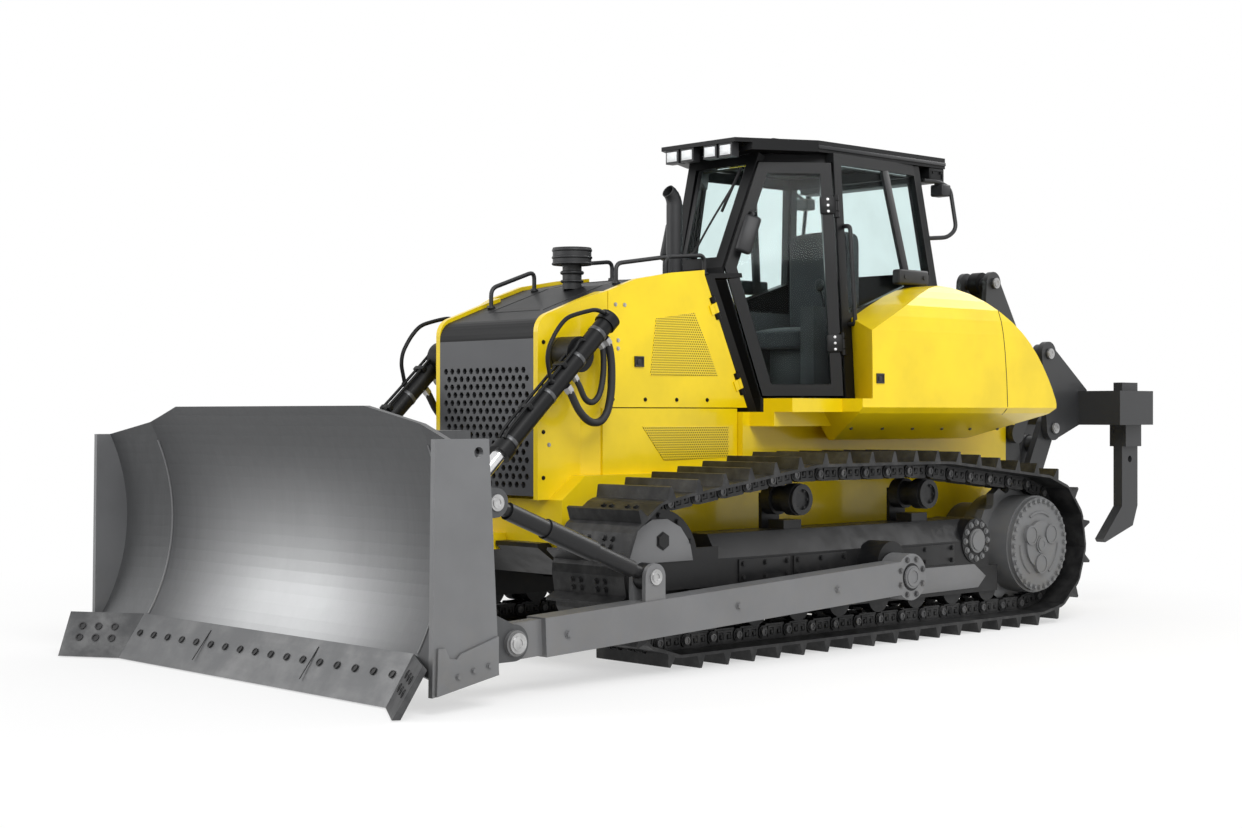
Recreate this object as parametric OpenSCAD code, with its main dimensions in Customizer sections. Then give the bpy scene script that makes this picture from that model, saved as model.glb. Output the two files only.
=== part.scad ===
// Crawler bulldozer with a semi-U blade on outside push arms and a three-shank ripper.
// Lengths are in millimetres. y runs rearwards from the sprocket axle, z up from the ground and x to
// the machine's left. The whole machine is then moved so that its box is centred on the origin.

/* [Tracks] */
// Distance between the centre lines of the tracks
track_gauge = 1880; // [1860:5:1900]
// Width of a track shoe
shoe_w = 560; // [520:5:580]
// Distance from the idler axle to the sprocket axle
wheel_base = 3300; // [3260:10:3360]
// Shoes on one track
shoe_count = 44; // [43:1:45]
// Height of a grouser over its plate
grouser_h = 65; // [55:1:70]
// Height of the sprocket axle above the ground
sprocket_z = 510; // [505:1:515]
// Height of the idler axle above the ground
idler_z = 490; // [485:1:495]
// Height of the carrier roller axles above the ground
carrier_z = 860; // [850:1:868]

/* [Blade] */
// Half width of the straight middle of the blade
blade_mid = 1240; // [1200:5:1260]
// Height of the blade's top edge
blade_top_z = 1388; // [1340:4:1430]
// Radius of the mouldboard's face
board_r = 1040; // [1000:10:1200]
// Angle by which each wing turns forward
wing_angle = 22; // [18:1:24]
// Height of a push arm
arm_h = 190; // [170:5:200]
// Outer diameter of a lift cylinder's barrel
lift_barrel_d = 104; // [100:2:130]

/* [Body] */
// Half width of the main frame
hull_half = 560; // [540:5:570]
// Half width of the nose
nose_half = 450; // [440:2:460]
// Half width over the engine doors
hood_half = 520; // [510:2:530]
// Thickness of the sheet panels with their stiffeners
panel_t = 36; // [30:1:38]
// Outer face of a fender from the middle of the machine
fender_out = 1060; // [1020:5:1100]

/* [Cab] */
// Height of the cab's roof plate over the ground
roof_z = 3030; // [3000:5:3060]
// Height of the cab floor
floor_z = 1440; // [1430:1:1450]
// Thickness of the cab's walls and doors
wall_t = 60; // [50:1:66]
// Width of the frame around a window
post_w = 70; // [60:1:80]

/* [Ripper] */
// Half length of the ripper beam
beam_half = 1000; // [960:5:1040]
// Height of the ripper beam
beam_h = 238; // [220:2:250]
// Thickness of a shank
shank_t = 70; // [60:1:76]

/* [Hidden] */
$fn = 48;
// Overrun of every cut
cut = 8;
// Seat between pieces that bear on each other
seat = 0.3;
// Gap between pieces that move past each other
run_gap = 6;
// Running clearance of a pin in its bore
pin_gap = 0.5;

// Places of the tracks
track_x = track_gauge / 2;
idler_y = -wheel_base;
carrier_shares = [0.6636, 0.3121];
carrier_ys = [for (share = carrier_shares) -share * wheel_base];
shoe_t = 16;
link_up = 45;
link_down = 42;
link_t = 44;
link_x = 74;
pin_drop = grouser_h + shoe_t + link_up;
rail_z = pin_drop + link_down;
sprocket_pin_r = sprocket_z - pin_drop;
idler_pin_r = idler_z - pin_drop;
carrier_r = 100;
carrier_pin_r = carrier_r + link_down + seat;

// The pin line runs round idler, sprocket and the two carrier rollers
belt = [
    [idler_y, idler_z, idler_pin_r],
    [0, sprocket_z, sprocket_pin_r],
    [carrier_ys[1], carrier_z, carrier_pin_r],
    [carrier_ys[0], carrier_z, carrier_pin_r]
];
belt_n = len(belt);
function unit(v) = v / norm(v);
function right_of(d) = [d.y, -d.x];
function left_of(d) = [-d.y, d.x];
function heading(v) = atan2(v.y, v.x);
function belt_c(i) = [belt[i % belt_n][0], belt[i % belt_n][1]];
function belt_r(i) = belt[i % belt_n][2];
function run_normal(i) = let (
    d = belt_c(i + 1) - belt_c(i),
    s = (belt_r(i) - belt_r(i + 1)) / norm(d)
) s * unit(d) + sqrt(1 - s * s) * right_of(unit(d));
function run_start(i) = belt_c(i) + belt_r(i) * run_normal(i);
function run_end(i) = belt_c(i + 1) + belt_r(i + 1) * run_normal(i);
function turn_at(i) = (heading(run_normal(i)) - heading(run_normal(i + belt_n - 1)) + 720) % 360;
segs = [for (k = [0 : 2 * belt_n - 1]) k % 2 == 0
    ? norm(run_end(k / 2) - run_start(k / 2))
    : belt_r((k + 1) / 2) * turn_at((k + 1) / 2) * PI / 180];
belt_len = segs * [for (s = segs) 1];
pitch = belt_len / shoe_count;
function on_run(i, s) = run_start(i) + s * left_of(run_normal(i));
function on_arc(i, s) = let (
    a = heading(run_normal(i + belt_n - 1)) + s / belt_r(i) * 180 / PI
) belt_c(i) + belt_r(i) * [cos(a), sin(a)];
function belt_at(s, k = 0) = s > segs[k] && k < 2 * belt_n - 1
    ? belt_at(s - segs[k], k + 1)
    : (k % 2 == 0 ? on_run(k / 2, s) : on_arc((k + 1) / 2, s));
pins = [for (k = [0 : shoe_count - 1]) belt_at(k * pitch)];
function pin_at(k) = pins[k % shoe_count];
function link_dir(k) = unit(pin_at(k + 1) - pin_at(k));
function link_len(k) = norm(pin_at(k + 1) - pin_at(k));
function pin_normal(k) = right_of(unit(link_dir(k) + link_dir(k + shoe_count - 1)));
function on_link(k, share, h) = pin_at(k) + share * link_len(k) * link_dir(k) + h * right_of(link_dir(k));

// One shoe's outline from its leading end: places as shares of the pitch, heights over the pin line
shoe_shares = [0.03, 0.56, 0.66, 0.73, 0.84, 0.97];
plate_h = link_up + shoe_t;
tip_h = plate_h + grouser_h;
shoe_hs = [plate_h, plate_h, tip_h, tip_h, plate_h, plate_h];
shoe_loop = [for (k = [0 : shoe_count - 1]) for (j = [0 : len(shoe_shares) - 1])
    on_link(k, shoe_shares[j], shoe_hs[j])];
shoe_in_loop = [for (k = [0 : shoe_count - 1]) pin_at(k) + link_up * pin_normal(k)];
link_out_loop = [for (k = [0 : shoe_count - 1]) pin_at(k) + (link_up + shoe_t / 2) * pin_normal(k)];
link_shares = [0.05, 0.14, 0.86];
link_notch_share = 0.3;
link_notch = link_down * link_notch_share;
link_hs = [-link_notch, -link_down, -link_down];
link_in_loop = [for (k = [0 : shoe_count - 1]) for (j = [0 : 2]) on_link(k, link_shares[j], link_hs[j])];

// Sprocket and final drive
tooth_count = 12;
tooth_depth = 45;
tooth_rise = 12;
tooth_root_r = sprocket_pin_r - tooth_depth;
tooth_tip_r = sprocket_pin_r + tooth_rise;
tooth_w = 56;
drum_r = 312;
drum_in_r = 250;
drum_in = 760;
drum_out = 1128;
cover_r = 300;
cover_t = 30;
boss_r = 150;
boss_t = 16;
plug_r = 24;
plug_t = 12;

// Idler and rollers
idler_tread_r = sqrt(idler_pin_r * idler_pin_r - pitch * pitch / 4) - link_down - seat;
idler_flange_h = 28;
idler_flange_r = idler_tread_r + idler_flange_h;
idler_flange_half = 44;
idler_half = 100;
idler_web_half = 60;
idler_hub_r = 110;
idler_rim_t = 60;
idler_shaft_r = 46;
roller_n = 8;
roller_r = 95;
roller_flange_r = 112;
roller_flange_t = 14;
roller_half = 118;
roller_waist = 42;
waist_share = 0.8;
roller_lead = 385;
roller_first_y = idler_y + roller_lead;
roller_last_y = -420;
roller_z = rail_z + roller_r + seat;
carrier_half = 112;
carrier_sag = 8;
carrier_face_r = carrier_r - carrier_sag;
carrier_flange_r = 112;
shaft_r = 34;

// Track frame
frame_half = 152;
frame_top_z = 690;
frame_cap_z = 560;
frame_cap_half = 70;
frame_clear = 12;
frame_low_z = roller_z + roller_flange_r + frame_clear;
frame_lead = 400;
frame_front_y = idler_y + frame_lead;
frame_rear_y = -455;
skirt_t = 28;
skirt_half = roller_half + seat;
skirt_low_z = 232;
skirt_lead = 280;
skirt_front_y = idler_y + skirt_lead;
skirt_rear_y = -350;
fork_half = 108;
fork_t = 34;
fork_low_z = 410;
fork_high_z = 570;
fork_lead = 130;
fork_front_y = idler_y - fork_lead;
guard_r = 290;
guard_lead = 50;
guard_y = idler_y - guard_lead;
guard_z = 556;
guard_low_z = 620;
guard_t = 14;
post_half_y = 75;
carrier_cap = 24;
pivot_y = -590;
pivot_z = 556;
pivot_r = 140;
pivot_out = 1100;
pivot_shaft_r = 90;
bar_y = -2450;
bar_half_y = 90;
bar_h = 120;

// Push arms and their trunnions
trunnion_y = -1596;
trunnion_z = 404;
trunnion_r = 80;
trunnion_flange_r = 130;
arm_in = 1250;
arm_t = 140;
arm_out = arm_in + arm_t;
arm_end_r = 135;
arm_tail_share = 0.5;
// Foot of the board, which the arms, braces and lugs reach
board_low_y = -5090;
arm_pin_set = 500;
arm_pin_y = board_low_y + arm_pin_set;
arm_pin_z = 262;
arm_pin_r = 36;
arm_head_r = 62;
arm_head_t = 22;
tongue_t = 76;
tongue_len = 200;
tongue_r = 88;
ear_t = 30;
arm_mid_x = arm_in + arm_t / 2;
brace_low_y = -3650;
brace_low_z = 520;
brace_up_set = 400;
brace_up_y = board_low_y + brace_up_set;
brace_up_z = 930;
brace_r = 44;
brace_eye_r = 70;
brace_eye_t = 70;
brace_sleeve_r = 52;
brace_neck_r = 33;
brace_neck_share = 0.11;
brace_sleeve_shares = [0.36, 0.66];
tilt_r = 66;
tilt_rod_r = 33;
tilt_share = 0.62;
brace_lug_t = 26;
brace_lug_foot = 150;

// Blade
board_low_z = 165;
board_t = 30;
wing_end_x = 1540;
board_top_flat = 869;
corner_z = 1235;
board_steps = 22;
edge_t = 30;
edge_reach = 125;
edge_tip_y = board_low_y - edge_reach;
edge_lap = 70;
edge_lift = 4;
end_plate_t = 30;
end_plate_sets = [-110, 200, 260, -125];
end_plate_ys = [for (d = end_plate_sets) board_low_y + d];
end_plate_low_z = 80;
end_plate_back_z = 150;
hole_r = 26;
hole_in_y = 60;
hole_in_z = 62;
bit_tip_x = 1620;
bit_angle = 32;
rib_t = 26;
rib_depth = 150;
rib_xs = [-1050, -330, 0, 330, 1050];
boxes_z = [330, 1080];
box_h = 190;
box_depth = 170;
lug_x = 620;
lug_gap = 62;
lug_t = 34;
lug_pin_set = 515;
lug_pin_y = board_low_y + lug_pin_set;
lug_pin_z = 640;
lug_r = 85;
lug_foot_h = 330;
lug_pin_r = 32;
lug_head_t = 18;
lug_head_r = 52;

// Lift cylinders
lift_y = -3480;
lift_z = 1672;
lift_back = 300;
lift_front = 780;
lift_rod_in = 412;
lift_rod_d = 76;
lift_eye_r = 62;
lift_eye_t = 90;
lift_bore_d = lift_rod_d + 2 * pin_gap;
yoke_r = 98;
yoke_pin_r = 42;
lift_cap_lip = 20;
lift_cap_d = lift_barrel_d + lift_cap_lip;
lift_cap_t = 60;
lift_arm = [0, lug_pin_y - lift_y, lug_pin_z - lift_z];
lift_len = norm(lift_arm);
lift_tilt = atan2(lug_pin_z - lift_z, -(lug_pin_y - lift_y));

// Hull
hull_front_y = -3560;
hull_rear_y = 470;
hull_low_z = 475;
hull_nose_z = 880;
hull_top_z = 1010;
hull_deck_z = 1360;
hull_step_y = -2140;
hull_chin = 170;
hook_half = 45;
hook_y = -3745;
hook_neck = 82;
hook_z = 640;
hook_r = 90;
hook_hole_r = 42;
guard_front_y = -3640;
guard_thick = 24;
belly_rear_y = -1700;

// Nose, hood and engine
nose_y = -3640;
nose_top_z = 1905;
nose_round = 110;
nose_turn = 65;
grille_t = 30;
grille_low_z = 900;
grille_top_z = 1760;
grille_cols = 13;
grille_rows = 15;
grille_hole_r = 19;
grille_band = 110;
grille_share = 0.9;
hood_ys = [-3358, -2964, -2680, -2400, -2150, -2000];
hood_zs = [1975, 2112, 2160, 2190, 2206, 2212];
rim_drop = 22;
top_t = 26;
door_front_y = -3190;
door_low_z = 1386;
door_low_rear_y = -2060;
door_rear_y = -2420;
door_rear_z = 2160;
skirt_bottom_z = hull_top_z + seat;
nose_taper = 140;
skirt_end_y = -2146;
engine_half = 330;
engine_front_y = -3300;
engine_rear_y = -2180;
engine_top_z = 1700;
cleaner_y = -2992;
cleaner_r = 113;
cleaner_h = 100;
cleaner_neck_r = 56;
cleaner_top_z = 2315;
exhaust_x = -40;
exhaust_y = -2115;
exhaust_r = 50;
exhaust_knee_z = 2628;
exhaust_bend_r = 95;
exhaust_bend = 66;
exhaust_steps = 5;
exhaust_wall = 6;
exhaust_taper = 1.5;
rail_d = 26;
rail_post_d = 24;
rail_rise = 95;
hinge_r = 9;
sleeve_r = 17;
sleeve_h = 60;
knuckle_h = 34;
leaf_w = 46;
leaf_t = 14;
post_strip = 70;

// Fender side profile, as places and heights
fender_front_y = -1640;
fender_front_angle = 31;
fender_ys = [
    -1640, -1640, -1470, -1300, -1150, -1000, -860, -725, -590, -460, -330, -202, -110,
    -20, 56, 126, 186, 240, 288, 329, 338, 336, 300, -170, -1500
];
fender_zs = [
    1362, 1800, 1880, 1957, 2023, 2083, 2128, 2154, 2146, 2110, 2054, 1985, 1931,
    1870, 1806, 1734, 1664, 1590, 1516, 1441, 1410, 1380, 1345, 1190, 1190
];
fender_in = 672;
fender_low_z = 1188;
fender_crease_z = 1352;
fender_lean = 200;
deck_front_y = -2080;
deck_out = 900;
deck_t = 84;

// Cab corners on the left, from the top down
roof_t = 70;
cab_top_z = roof_z - roof_t;
a_top = [300, -1720, cab_top_z];
a_bend = [220, -1965, 2245];
a_low = [430, -1850, floor_z + seat];
b_top = [600, -1370, cab_top_z];
b_low = [790, -1470, floor_z + seat];
c_top = [560, -480, cab_top_z];
c_low = [700, -330, floor_z + seat];
roof_front = [320, -1955];
roof_wide = 570;
roof_wide_y = -1474;
roof_rear_y = -215;
visor_d = 100;
visor_t = 26;
glass_t = 8;
glass_in = 20;
door_in = 18;
door_gap = 10;

// Ripper
tower_xs = [318, 538];
tower_t = 36;
apex_y = 340;
apex_z = 2235;
apex_r = 78;
tower_knee_y = 700;
tower_knee_z = 1790;
tower_foot_y = 180;
low_piv_y = 600;
low_piv_z = 700;
low_pin_y = 890;
low_pin_z = 1250;
up_rise = 515;
up_shift = -60;
rip_pin_r = 38;
rip_eye_r = 84;
link_eye_share = 0.8;
rod_eye_share = 0.75;
link_plate_x = 590;
link_plate_t = 46;
lug_plate_x = 642;
lug_plate_t = 42;
beam_y = 1186;
beam_depth = 420;
beam_low_z = 1272;
beam_web_share = 0.25;
shank_xs = [-850, 0, 850];
shank_front_y = 1392;
shank_back_y = 1590;
shank_knee_z = 700;
shank_tip_y = 1160;
shank_tip_z = 455;
shank_head = 60;
shank_nose = 22;
shank_heel_y = 1530;
shank_heel_z = 560;
shank_hole_z = 1030;
shank_hole_r = 24;
pocket_t = 30;
pocket_low_z = 1120;
rip_cyl_x = 428;
rip_barrel_r = 62;
rip_rod_r = 36;
rip_eye_half = 36;
rip_share = 0.5;
rip_tube_share = 0.8;
rip_tube_r = 58;
rip_ear_t = 24;
rip_ear_r = 66;
rip_barrel_len = 760;
rip_stub = 120;

// The box in y, from the bit's tip to the beam's rear face
tip_y = edge_tip_y - (bit_tip_x - blade_mid) * tan(bit_angle) - edge_t;
rear_y = beam_y + beam_depth;
mid_y = (tip_y + rear_y) / 2;

// Everything is drawn from the sprocket axle and then moved over the origin
module placed() {
    translate([0, -mid_y, 0]) children();
}

// A profile in y and z drawn out along x from x0 to x1
module drawn_x(x0, x1) {
    translate([x0, 0, 0]) rotate([90, 0, 90]) linear_extrude(x1 - x0) children();
}

// A round bar along x from x0 to x1
module bar_x(x0, x1, y, z, r) {
    translate([x0, y, z]) rotate([0, 90, 0]) cylinder(r = r, h = x1 - x0);
}

// A box between two opposite corners
module box(a, b) {
    translate(a) cube(b - a);
}

// A solid turned about the x axis from pairs of place and radius
module turned_x(pairs) {
    rotate([90, 0, 90]) rotate_extrude() polygon([for (p = pairs) [p.y, p.x]]);
}

// A round bar from one point to another
module strut(p, q, r) {
    d = q - p;
    translate(p) rotate([0, acos(d.z / norm(d)), atan2(d.y, d.x)]) cylinder(r = r, h = norm(d));
}

module both() {
    children();
    mirror([1, 0, 0]) children();
}

// A flat sheet through coplanar points, its outer face on them and its thickness inwards
function flat_u(ps) = unit(ps[1] - ps[0]);
function flat_n(ps) = unit(cross(flat_u(ps), ps[2] - ps[0]));
function flat_v(ps) = cross(flat_n(ps), flat_u(ps));
function flat_2d(ps, p) = [(p - ps[0]) * flat_u(ps), (p - ps[0]) * flat_v(ps)];
module on_flat(ps) {
    u = flat_u(ps);
    v = flat_v(ps);
    n = flat_n(ps);
    o = ps[0];
    multmatrix([[u.x, v.x, n.x, o.x], [u.y, v.y, n.y, o.y], [u.z, v.z, n.z, o.z], [0, 0, 0, 1]]) children();
}
// Corners moved inwards by a distance, for a convex outline that runs counter-clockwise
function edge_in(a, b) = left_of(unit(b - a));
function inset_at(a, b, c, d) = let (
    m = edge_in(a, b),
    n = edge_in(b, c),
    k = d / (1 + m * n)
) b + k * (m + n);
function inset(ps, d) = let (n = len(ps)) [for (i = [0 : n - 1])
    inset_at(ps[(i + n - 1) % n], ps[i], ps[(i + 1) % n], d)];
function flat_loop(ps) = [for (p = ps) flat_2d(ps, p)];
module sheet(ps, t, d = 0) {
    on_flat(ps) translate([0, 0, -t]) linear_extrude(t) polygon(inset(flat_loop(ps), d));
}
// A window frame: a sheet with its middle cut out
module framed(ps, t, w) {
    difference() {
        sheet(ps, t);
        translate(flat_n(ps) * cut) sheet(ps, t + 2 * cut, w);
    }
}
module pane(ps, w) {
    translate(-flat_n(ps) * glass_in) sheet(ps, glass_t, w + seat);
}

// Cab outlines, each counter-clockwise as seen from outside
function mx(p) = [-p.x, p.y, p.z];
function between(p, q, share) = p + (q - p) * share;
door_n = unit(cross(b_low - b_top, a_top - b_top));
function level(n) = unit([n.x, n.y, 0]);
function slid(p, n) = p - level(n) * (((p - b_top) * n) / (level(n) * n));
function on_door(p) = slid(p, door_n);
a_bend_d = on_door(a_bend);
a_low_d = on_door(a_low);
door_drop_share = 0.03;
door_top_rear = between(b_top, b_low, door_drop_share);
door_top_front = between(a_top, a_bend_d, 2 * door_drop_share);
door_loop = [door_top_rear, door_top_front, a_bend_d, a_low_d, b_low];
front_loop = [a_top, mx(a_top), mx(a_bend_d), a_bend_d];
dash_loop = [a_bend_d, mx(a_bend_d), mx(a_low_d), a_low_d];
side_n = unit(cross(b_low - b_top, c_top - b_top));
c_low_d = slid(c_low, side_n);
side_loop = [b_top, b_low, c_low_d, c_top];
side_waist_shares = [0.28, 0.5];
side_waist_front = between(b_low, b_top, side_waist_shares[0]);
side_waist_rear = between(c_low_d, c_top, side_waist_shares[1]);
side_window = [b_top, side_waist_front, side_waist_rear, c_top];
rear_loop = [c_top, c_low_d, mx(c_low_d), mx(c_top)];
rear_window = [c_top, side_waist_rear, mx(side_waist_rear), mx(c_top)];

// A hinge in its own frame: x into the door, y outwards, z up the axis; the sleeve is the door's
module hinge_at(o, x, y) {
    z = cross(x, y);
    multmatrix([
        [x.x, y.x, z.x, o.x],
        [x.y, y.y, z.y, o.y],
        [x.z, y.z, z.z, o.z],
        [0, 0, 0, 1]
    ]) children();
}
module hinge_sleeve() {
    difference() {
        union() {
            cylinder(r = sleeve_r, h = sleeve_h);
            translate([0, -leaf_t, 0]) cube([leaf_w, leaf_t + sleeve_r / 2, sleeve_h]);
        }
        translate([0, 0, -cut]) cylinder(r = hinge_r + pin_gap, h = sleeve_h + 2 * cut);
    }
}
hinge_len = sleeve_h + 2 * knuckle_h + 2 * run_gap;
module hinge_bore() {
    translate([0, 0, -knuckle_h - run_gap]) cylinder(r = sleeve_r + run_gap, h = hinge_len);
}
module hinge_pin() {
    translate([0, 0, -knuckle_h - run_gap]) cylinder(r = hinge_r, h = hinge_len);
    for (z = [-knuckle_h - run_gap, sleeve_h + run_gap])
        translate([0, 0, z]) cylinder(r = sleeve_r, h = knuckle_h);
}
module hinge_room() {
    translate([0, 0, -run_gap]) cylinder(r = sleeve_r + run_gap, h = sleeve_h + 2 * run_gap);
}
// The cab door turns on the line of the rear pillar, the engine door on its own slanted rear edge
cab_hinge_shares = [0.2, 0.76];
cab_hinge_z = unit(b_top - b_low);
cab_hinge_x = cross(-door_n, cab_hinge_z);
module cab_hinges() {
    for (share = cab_hinge_shares) hinge_at(between(b_low, b_top, share), cab_hinge_x, -door_n) children();
}
// What a cab door sweeps, turned about its hinge line
function sweep_z(p) = (p - b_low) * cab_hinge_z;
function sweep_r(p) = norm(p - b_low - sweep_z(p) * cab_hinge_z) + 2 * run_gap;
module door_sweep() {
    hinge_at(b_low, cab_hinge_x, -door_n) rotate_extrude() polygon([
        [0, sweep_z(a_low_d)], [sweep_r(a_low_d), sweep_z(a_low_d)], [sweep_r(a_bend_d), sweep_z(a_bend_d)],
        [sweep_r(a_top), sweep_z(a_top)], [0, sweep_z(a_top)]]);
}
engine_hinge_shares = [0.15, 0.72];
engine_hinge_low = [hood_half, door_low_rear_y, door_low_z];
engine_hinge_top = [hood_half, door_rear_y, door_rear_z];
engine_hinge_z = unit(engine_hinge_top - engine_hinge_low);
module engine_hinges() {
    for (share = engine_hinge_shares) {
        place = between(engine_hinge_low, engine_hinge_top, share);
        hinge_at(place, cross([1, 0, 0], engine_hinge_z), [1, 0, 0]) children();
    }
}

hull_outline = [
    [hull_front_y, hull_low_z + hull_chin],
    [hull_front_y + hull_chin, hull_low_z],
    [hull_rear_y - hull_chin, hull_low_z],
    [hull_rear_y, hull_low_z + hull_chin],
    [hull_rear_y, hull_deck_z],
    [hull_step_y, hull_deck_z],
    [hull_step_y, hull_top_z],
    [hull_front_y + hull_chin, hull_top_z],
    [hull_front_y, hull_nose_z]
];
module main_frame() {
    color("#e3b01c") placed() {
        drawn_x(-hull_half, hull_half) polygon(hull_outline);
        difference() {
            union() {
                box([-hook_neck, hook_y, hook_z - hook_half],
                    [hook_neck, hull_front_y + cut, hook_z + hook_half]);
                translate([0, hook_y, hook_z - hook_half]) cylinder(r = hook_r, h = 2 * hook_half);
            }
            translate([0, hook_y, hook_z - hook_half - cut])
                cylinder(r = hook_hole_r, h = 2 * (hook_half + cut));
        }
    }
}

module belly_guard() {
    color("#26282b") placed() difference() {
        drawn_x(-nose_half, nose_half) polygon([
            [guard_front_y, hull_low_z + hull_chin - guard_thick],
            [hull_front_y + hull_chin, hull_low_z - guard_thick],
            [belly_rear_y, hull_low_z - guard_thick],
            [belly_rear_y, hull_low_z - seat],
            [hull_front_y + hull_chin, hull_low_z - seat],
            [hull_front_y - seat, hull_low_z + hull_chin - seat],
            [guard_front_y, hull_low_z + hull_chin]
        ]);
        box([-hook_r - seat, hook_y - hook_r, hook_z - hook_half - seat],
            [hook_r + seat, hull_front_y + hull_chin, hook_z + hook_half]);
    }
}

module engine_block() {
    color("#3a3c3f") placed()
        box([-engine_half, engine_front_y, hull_top_z + seat], [engine_half, engine_rear_y, engine_top_z]);
}

grille_half = nose_half - panel_t - seat;
module grille() {
    step_x = 2 * grille_half * grille_share / grille_cols;
    step_z = (grille_top_z - grille_band - grille_low_z) * grille_share / grille_rows;
    color("#1c1d1f") placed() difference() {
        box([-grille_half, nose_y, grille_low_z], [grille_half, nose_y + grille_t, grille_top_z]);
        for (i = [0 : grille_cols - 1]) for (j = [0 : grille_rows - 1])
            translate([
                (i - (grille_cols - 1) / 2 + (j % 2 - 1 / 2) / 2) * step_x,
                nose_y + grille_t + cut,
                (grille_low_z + grille_top_z - grille_band) / 2 + (j - (grille_rows - 1) / 2) * step_z
            ]) rotate([90, 0, 0]) cylinder(r = grille_hole_r, h = grille_t + 2 * cut, $fn = 6);
    }
}

// The hood's edge seen from the side: the rounded nose, then the rising line to the cab
nose_arc_n = 6;
nose_arc = [for (i = [0 : nose_arc_n]) let (a = 180 - i * nose_turn / nose_arc_n)
    [nose_y + nose_round + nose_round * cos(a), nose_top_z - nose_round + nose_round * sin(a)]];
hood_line = concat(nose_arc, [for (i = [0 : len(hood_ys) - 1]) [hood_ys[i], hood_zs[i]]]);
function hood_z(y) = lookup(y, [for (p = hood_line) [p.x, p.y]]);
function lowered(line, d) = [for (p = line) [p.x, p.y - d]];
function backwards(line) = [for (i = [len(line) - 1 : -1 : 0]) line[i]];
hood_end_y = hood_ys[len(hood_ys) - 1];
top_line = concat([[nose_y, grille_top_z + seat]], lowered(hood_line, rim_drop),
    [[hood_end_y, grille_top_z + seat]]);
top_inner = [for (p = top_line) [p.x + top_t, p.y - top_t]];

post_lean = (door_low_rear_y - door_rear_y) / (door_rear_z - door_low_z);
post_foot_y = door_low_rear_y + run_gap + (door_low_z - hull_deck_z) * post_lean;
post_line = [
    [post_foot_y, hull_deck_z + seat],
    [post_foot_y + post_strip, hull_deck_z + seat],
    [door_rear_y + run_gap + post_strip, door_rear_z],
    [door_rear_y + run_gap, door_rear_z]
];
module hood_top() {
    wide = hood_half - panel_t - run_gap;
    color("#232527") placed() {
        difference() {
            union() {
                drawn_x(-wide, wide) polygon(top_line);
                intersection() {
                    drawn_x(-hood_half, hood_half) polygon(top_line);
                    box([-hood_half, door_rear_y + post_strip / 2, grille_low_z],
                        [hood_half, hood_end_y, roof_z]);
                }
            }
            drawn_x(-hood_half - cut, hood_half + cut) polygon(top_inner);
            both() box([grille_half, nose_y - nose_round, grille_low_z],
                [hood_half, door_front_y + seat, roof_z]);
            both() door_sweep();
        }
        both() {
            difference() {
                drawn_x(hood_half - panel_t, hood_half) polygon(post_line);
                engine_hinges() hinge_room();
            }
            engine_hinges() hinge_pin();
        }
    }
}

// Nose panel, the wedge out to the door line and the skirt below the engine door
taper_y = door_front_y - nose_taper;
module side_panel_right_or_left() {
    difference() {
        union() {
            drawn_x(nose_half - panel_t, nose_half) polygon(concat(
                [[nose_y, hull_nose_z]], nose_arc,
                [[hood_ys[0], hood_zs[0]], [door_front_y, hood_z(door_front_y)],
                [door_front_y, hull_nose_z]]));
            intersection() {
                drawn_x(nose_half - panel_t, hood_half) polygon([
                    [taper_y, hull_nose_z],
                    [door_front_y, hull_nose_z],
                    [door_front_y, hood_z(door_front_y)],
                    [taper_y, hood_z(taper_y)]]);
                linear_extrude(roof_z) polygon([
                    [nose_half - panel_t, taper_y],
                    [nose_half, taper_y],
                    [hood_half, door_front_y],
                    [nose_half - panel_t, door_front_y]]);
            }
            box([hood_half - panel_t, door_front_y - panel_t, skirt_bottom_z],
                [hood_half, skirt_end_y, door_low_z - run_gap]);
        }
        drawn_x(0, hull_half) offset(delta = seat) polygon(hull_outline);
    }
}
module side_panel_left() {
    color("#edb91f") placed() side_panel_right_or_left();
}
module side_panel_right() {
    color("#edb91f") placed() mirror([1, 0, 0]) side_panel_right_or_left();
}

door_loop_y = [
    [door_front_y + run_gap, door_low_z],
    [door_low_rear_y, door_low_z],
    [door_rear_y, door_rear_z],
    [door_rear_y, hood_z(door_rear_y)],
    [hood_ys[2], hood_zs[2]],
    [hood_ys[1], hood_zs[1]],
    [door_front_y + run_gap, hood_z(door_front_y + run_gap)]
];
module engine_door() {
    difference() {
        drawn_x(hood_half - panel_t, hood_half) polygon(door_loop_y);
        engine_hinges() hinge_bore();
    }
    engine_hinges() hinge_sleeve();
}
module engine_door_left() {
    color("#edb91f") placed() engine_door();
}
module engine_door_right() {
    color("#edb91f") placed() mirror([1, 0, 0]) engine_door();
}

module pre_cleaner() {
    base_z = hood_z(cleaner_y) - rim_drop - top_t / 4;
    color("#1d1e20") placed() translate([0, cleaner_y, 0]) difference() {
        union() {
            translate([0, 0, base_z]) cylinder(r = cleaner_neck_r, h = cleaner_top_z - cleaner_h - base_z);
            translate([0, 0, cleaner_top_z - cleaner_h]) cylinder(r = cleaner_r, h = cleaner_h);
            translate([0, 0, cleaner_top_z - cleaner_h - cut]) cylinder(r = cleaner_neck_r, h = 2 * cut);
        }
        translate([0, -cleaner_y, 0]) hood_cutter();
    }
}
// Everything under the hood's black top, for what stands on it
module hood_cutter() {
    drawn_x(-hood_half, hood_half) polygon(concat(lowered(hood_line, rim_drop - seat),
        [[hood_ys[len(hood_ys) - 1], hull_top_z], [nose_y, hull_top_z]]));
}

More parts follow.
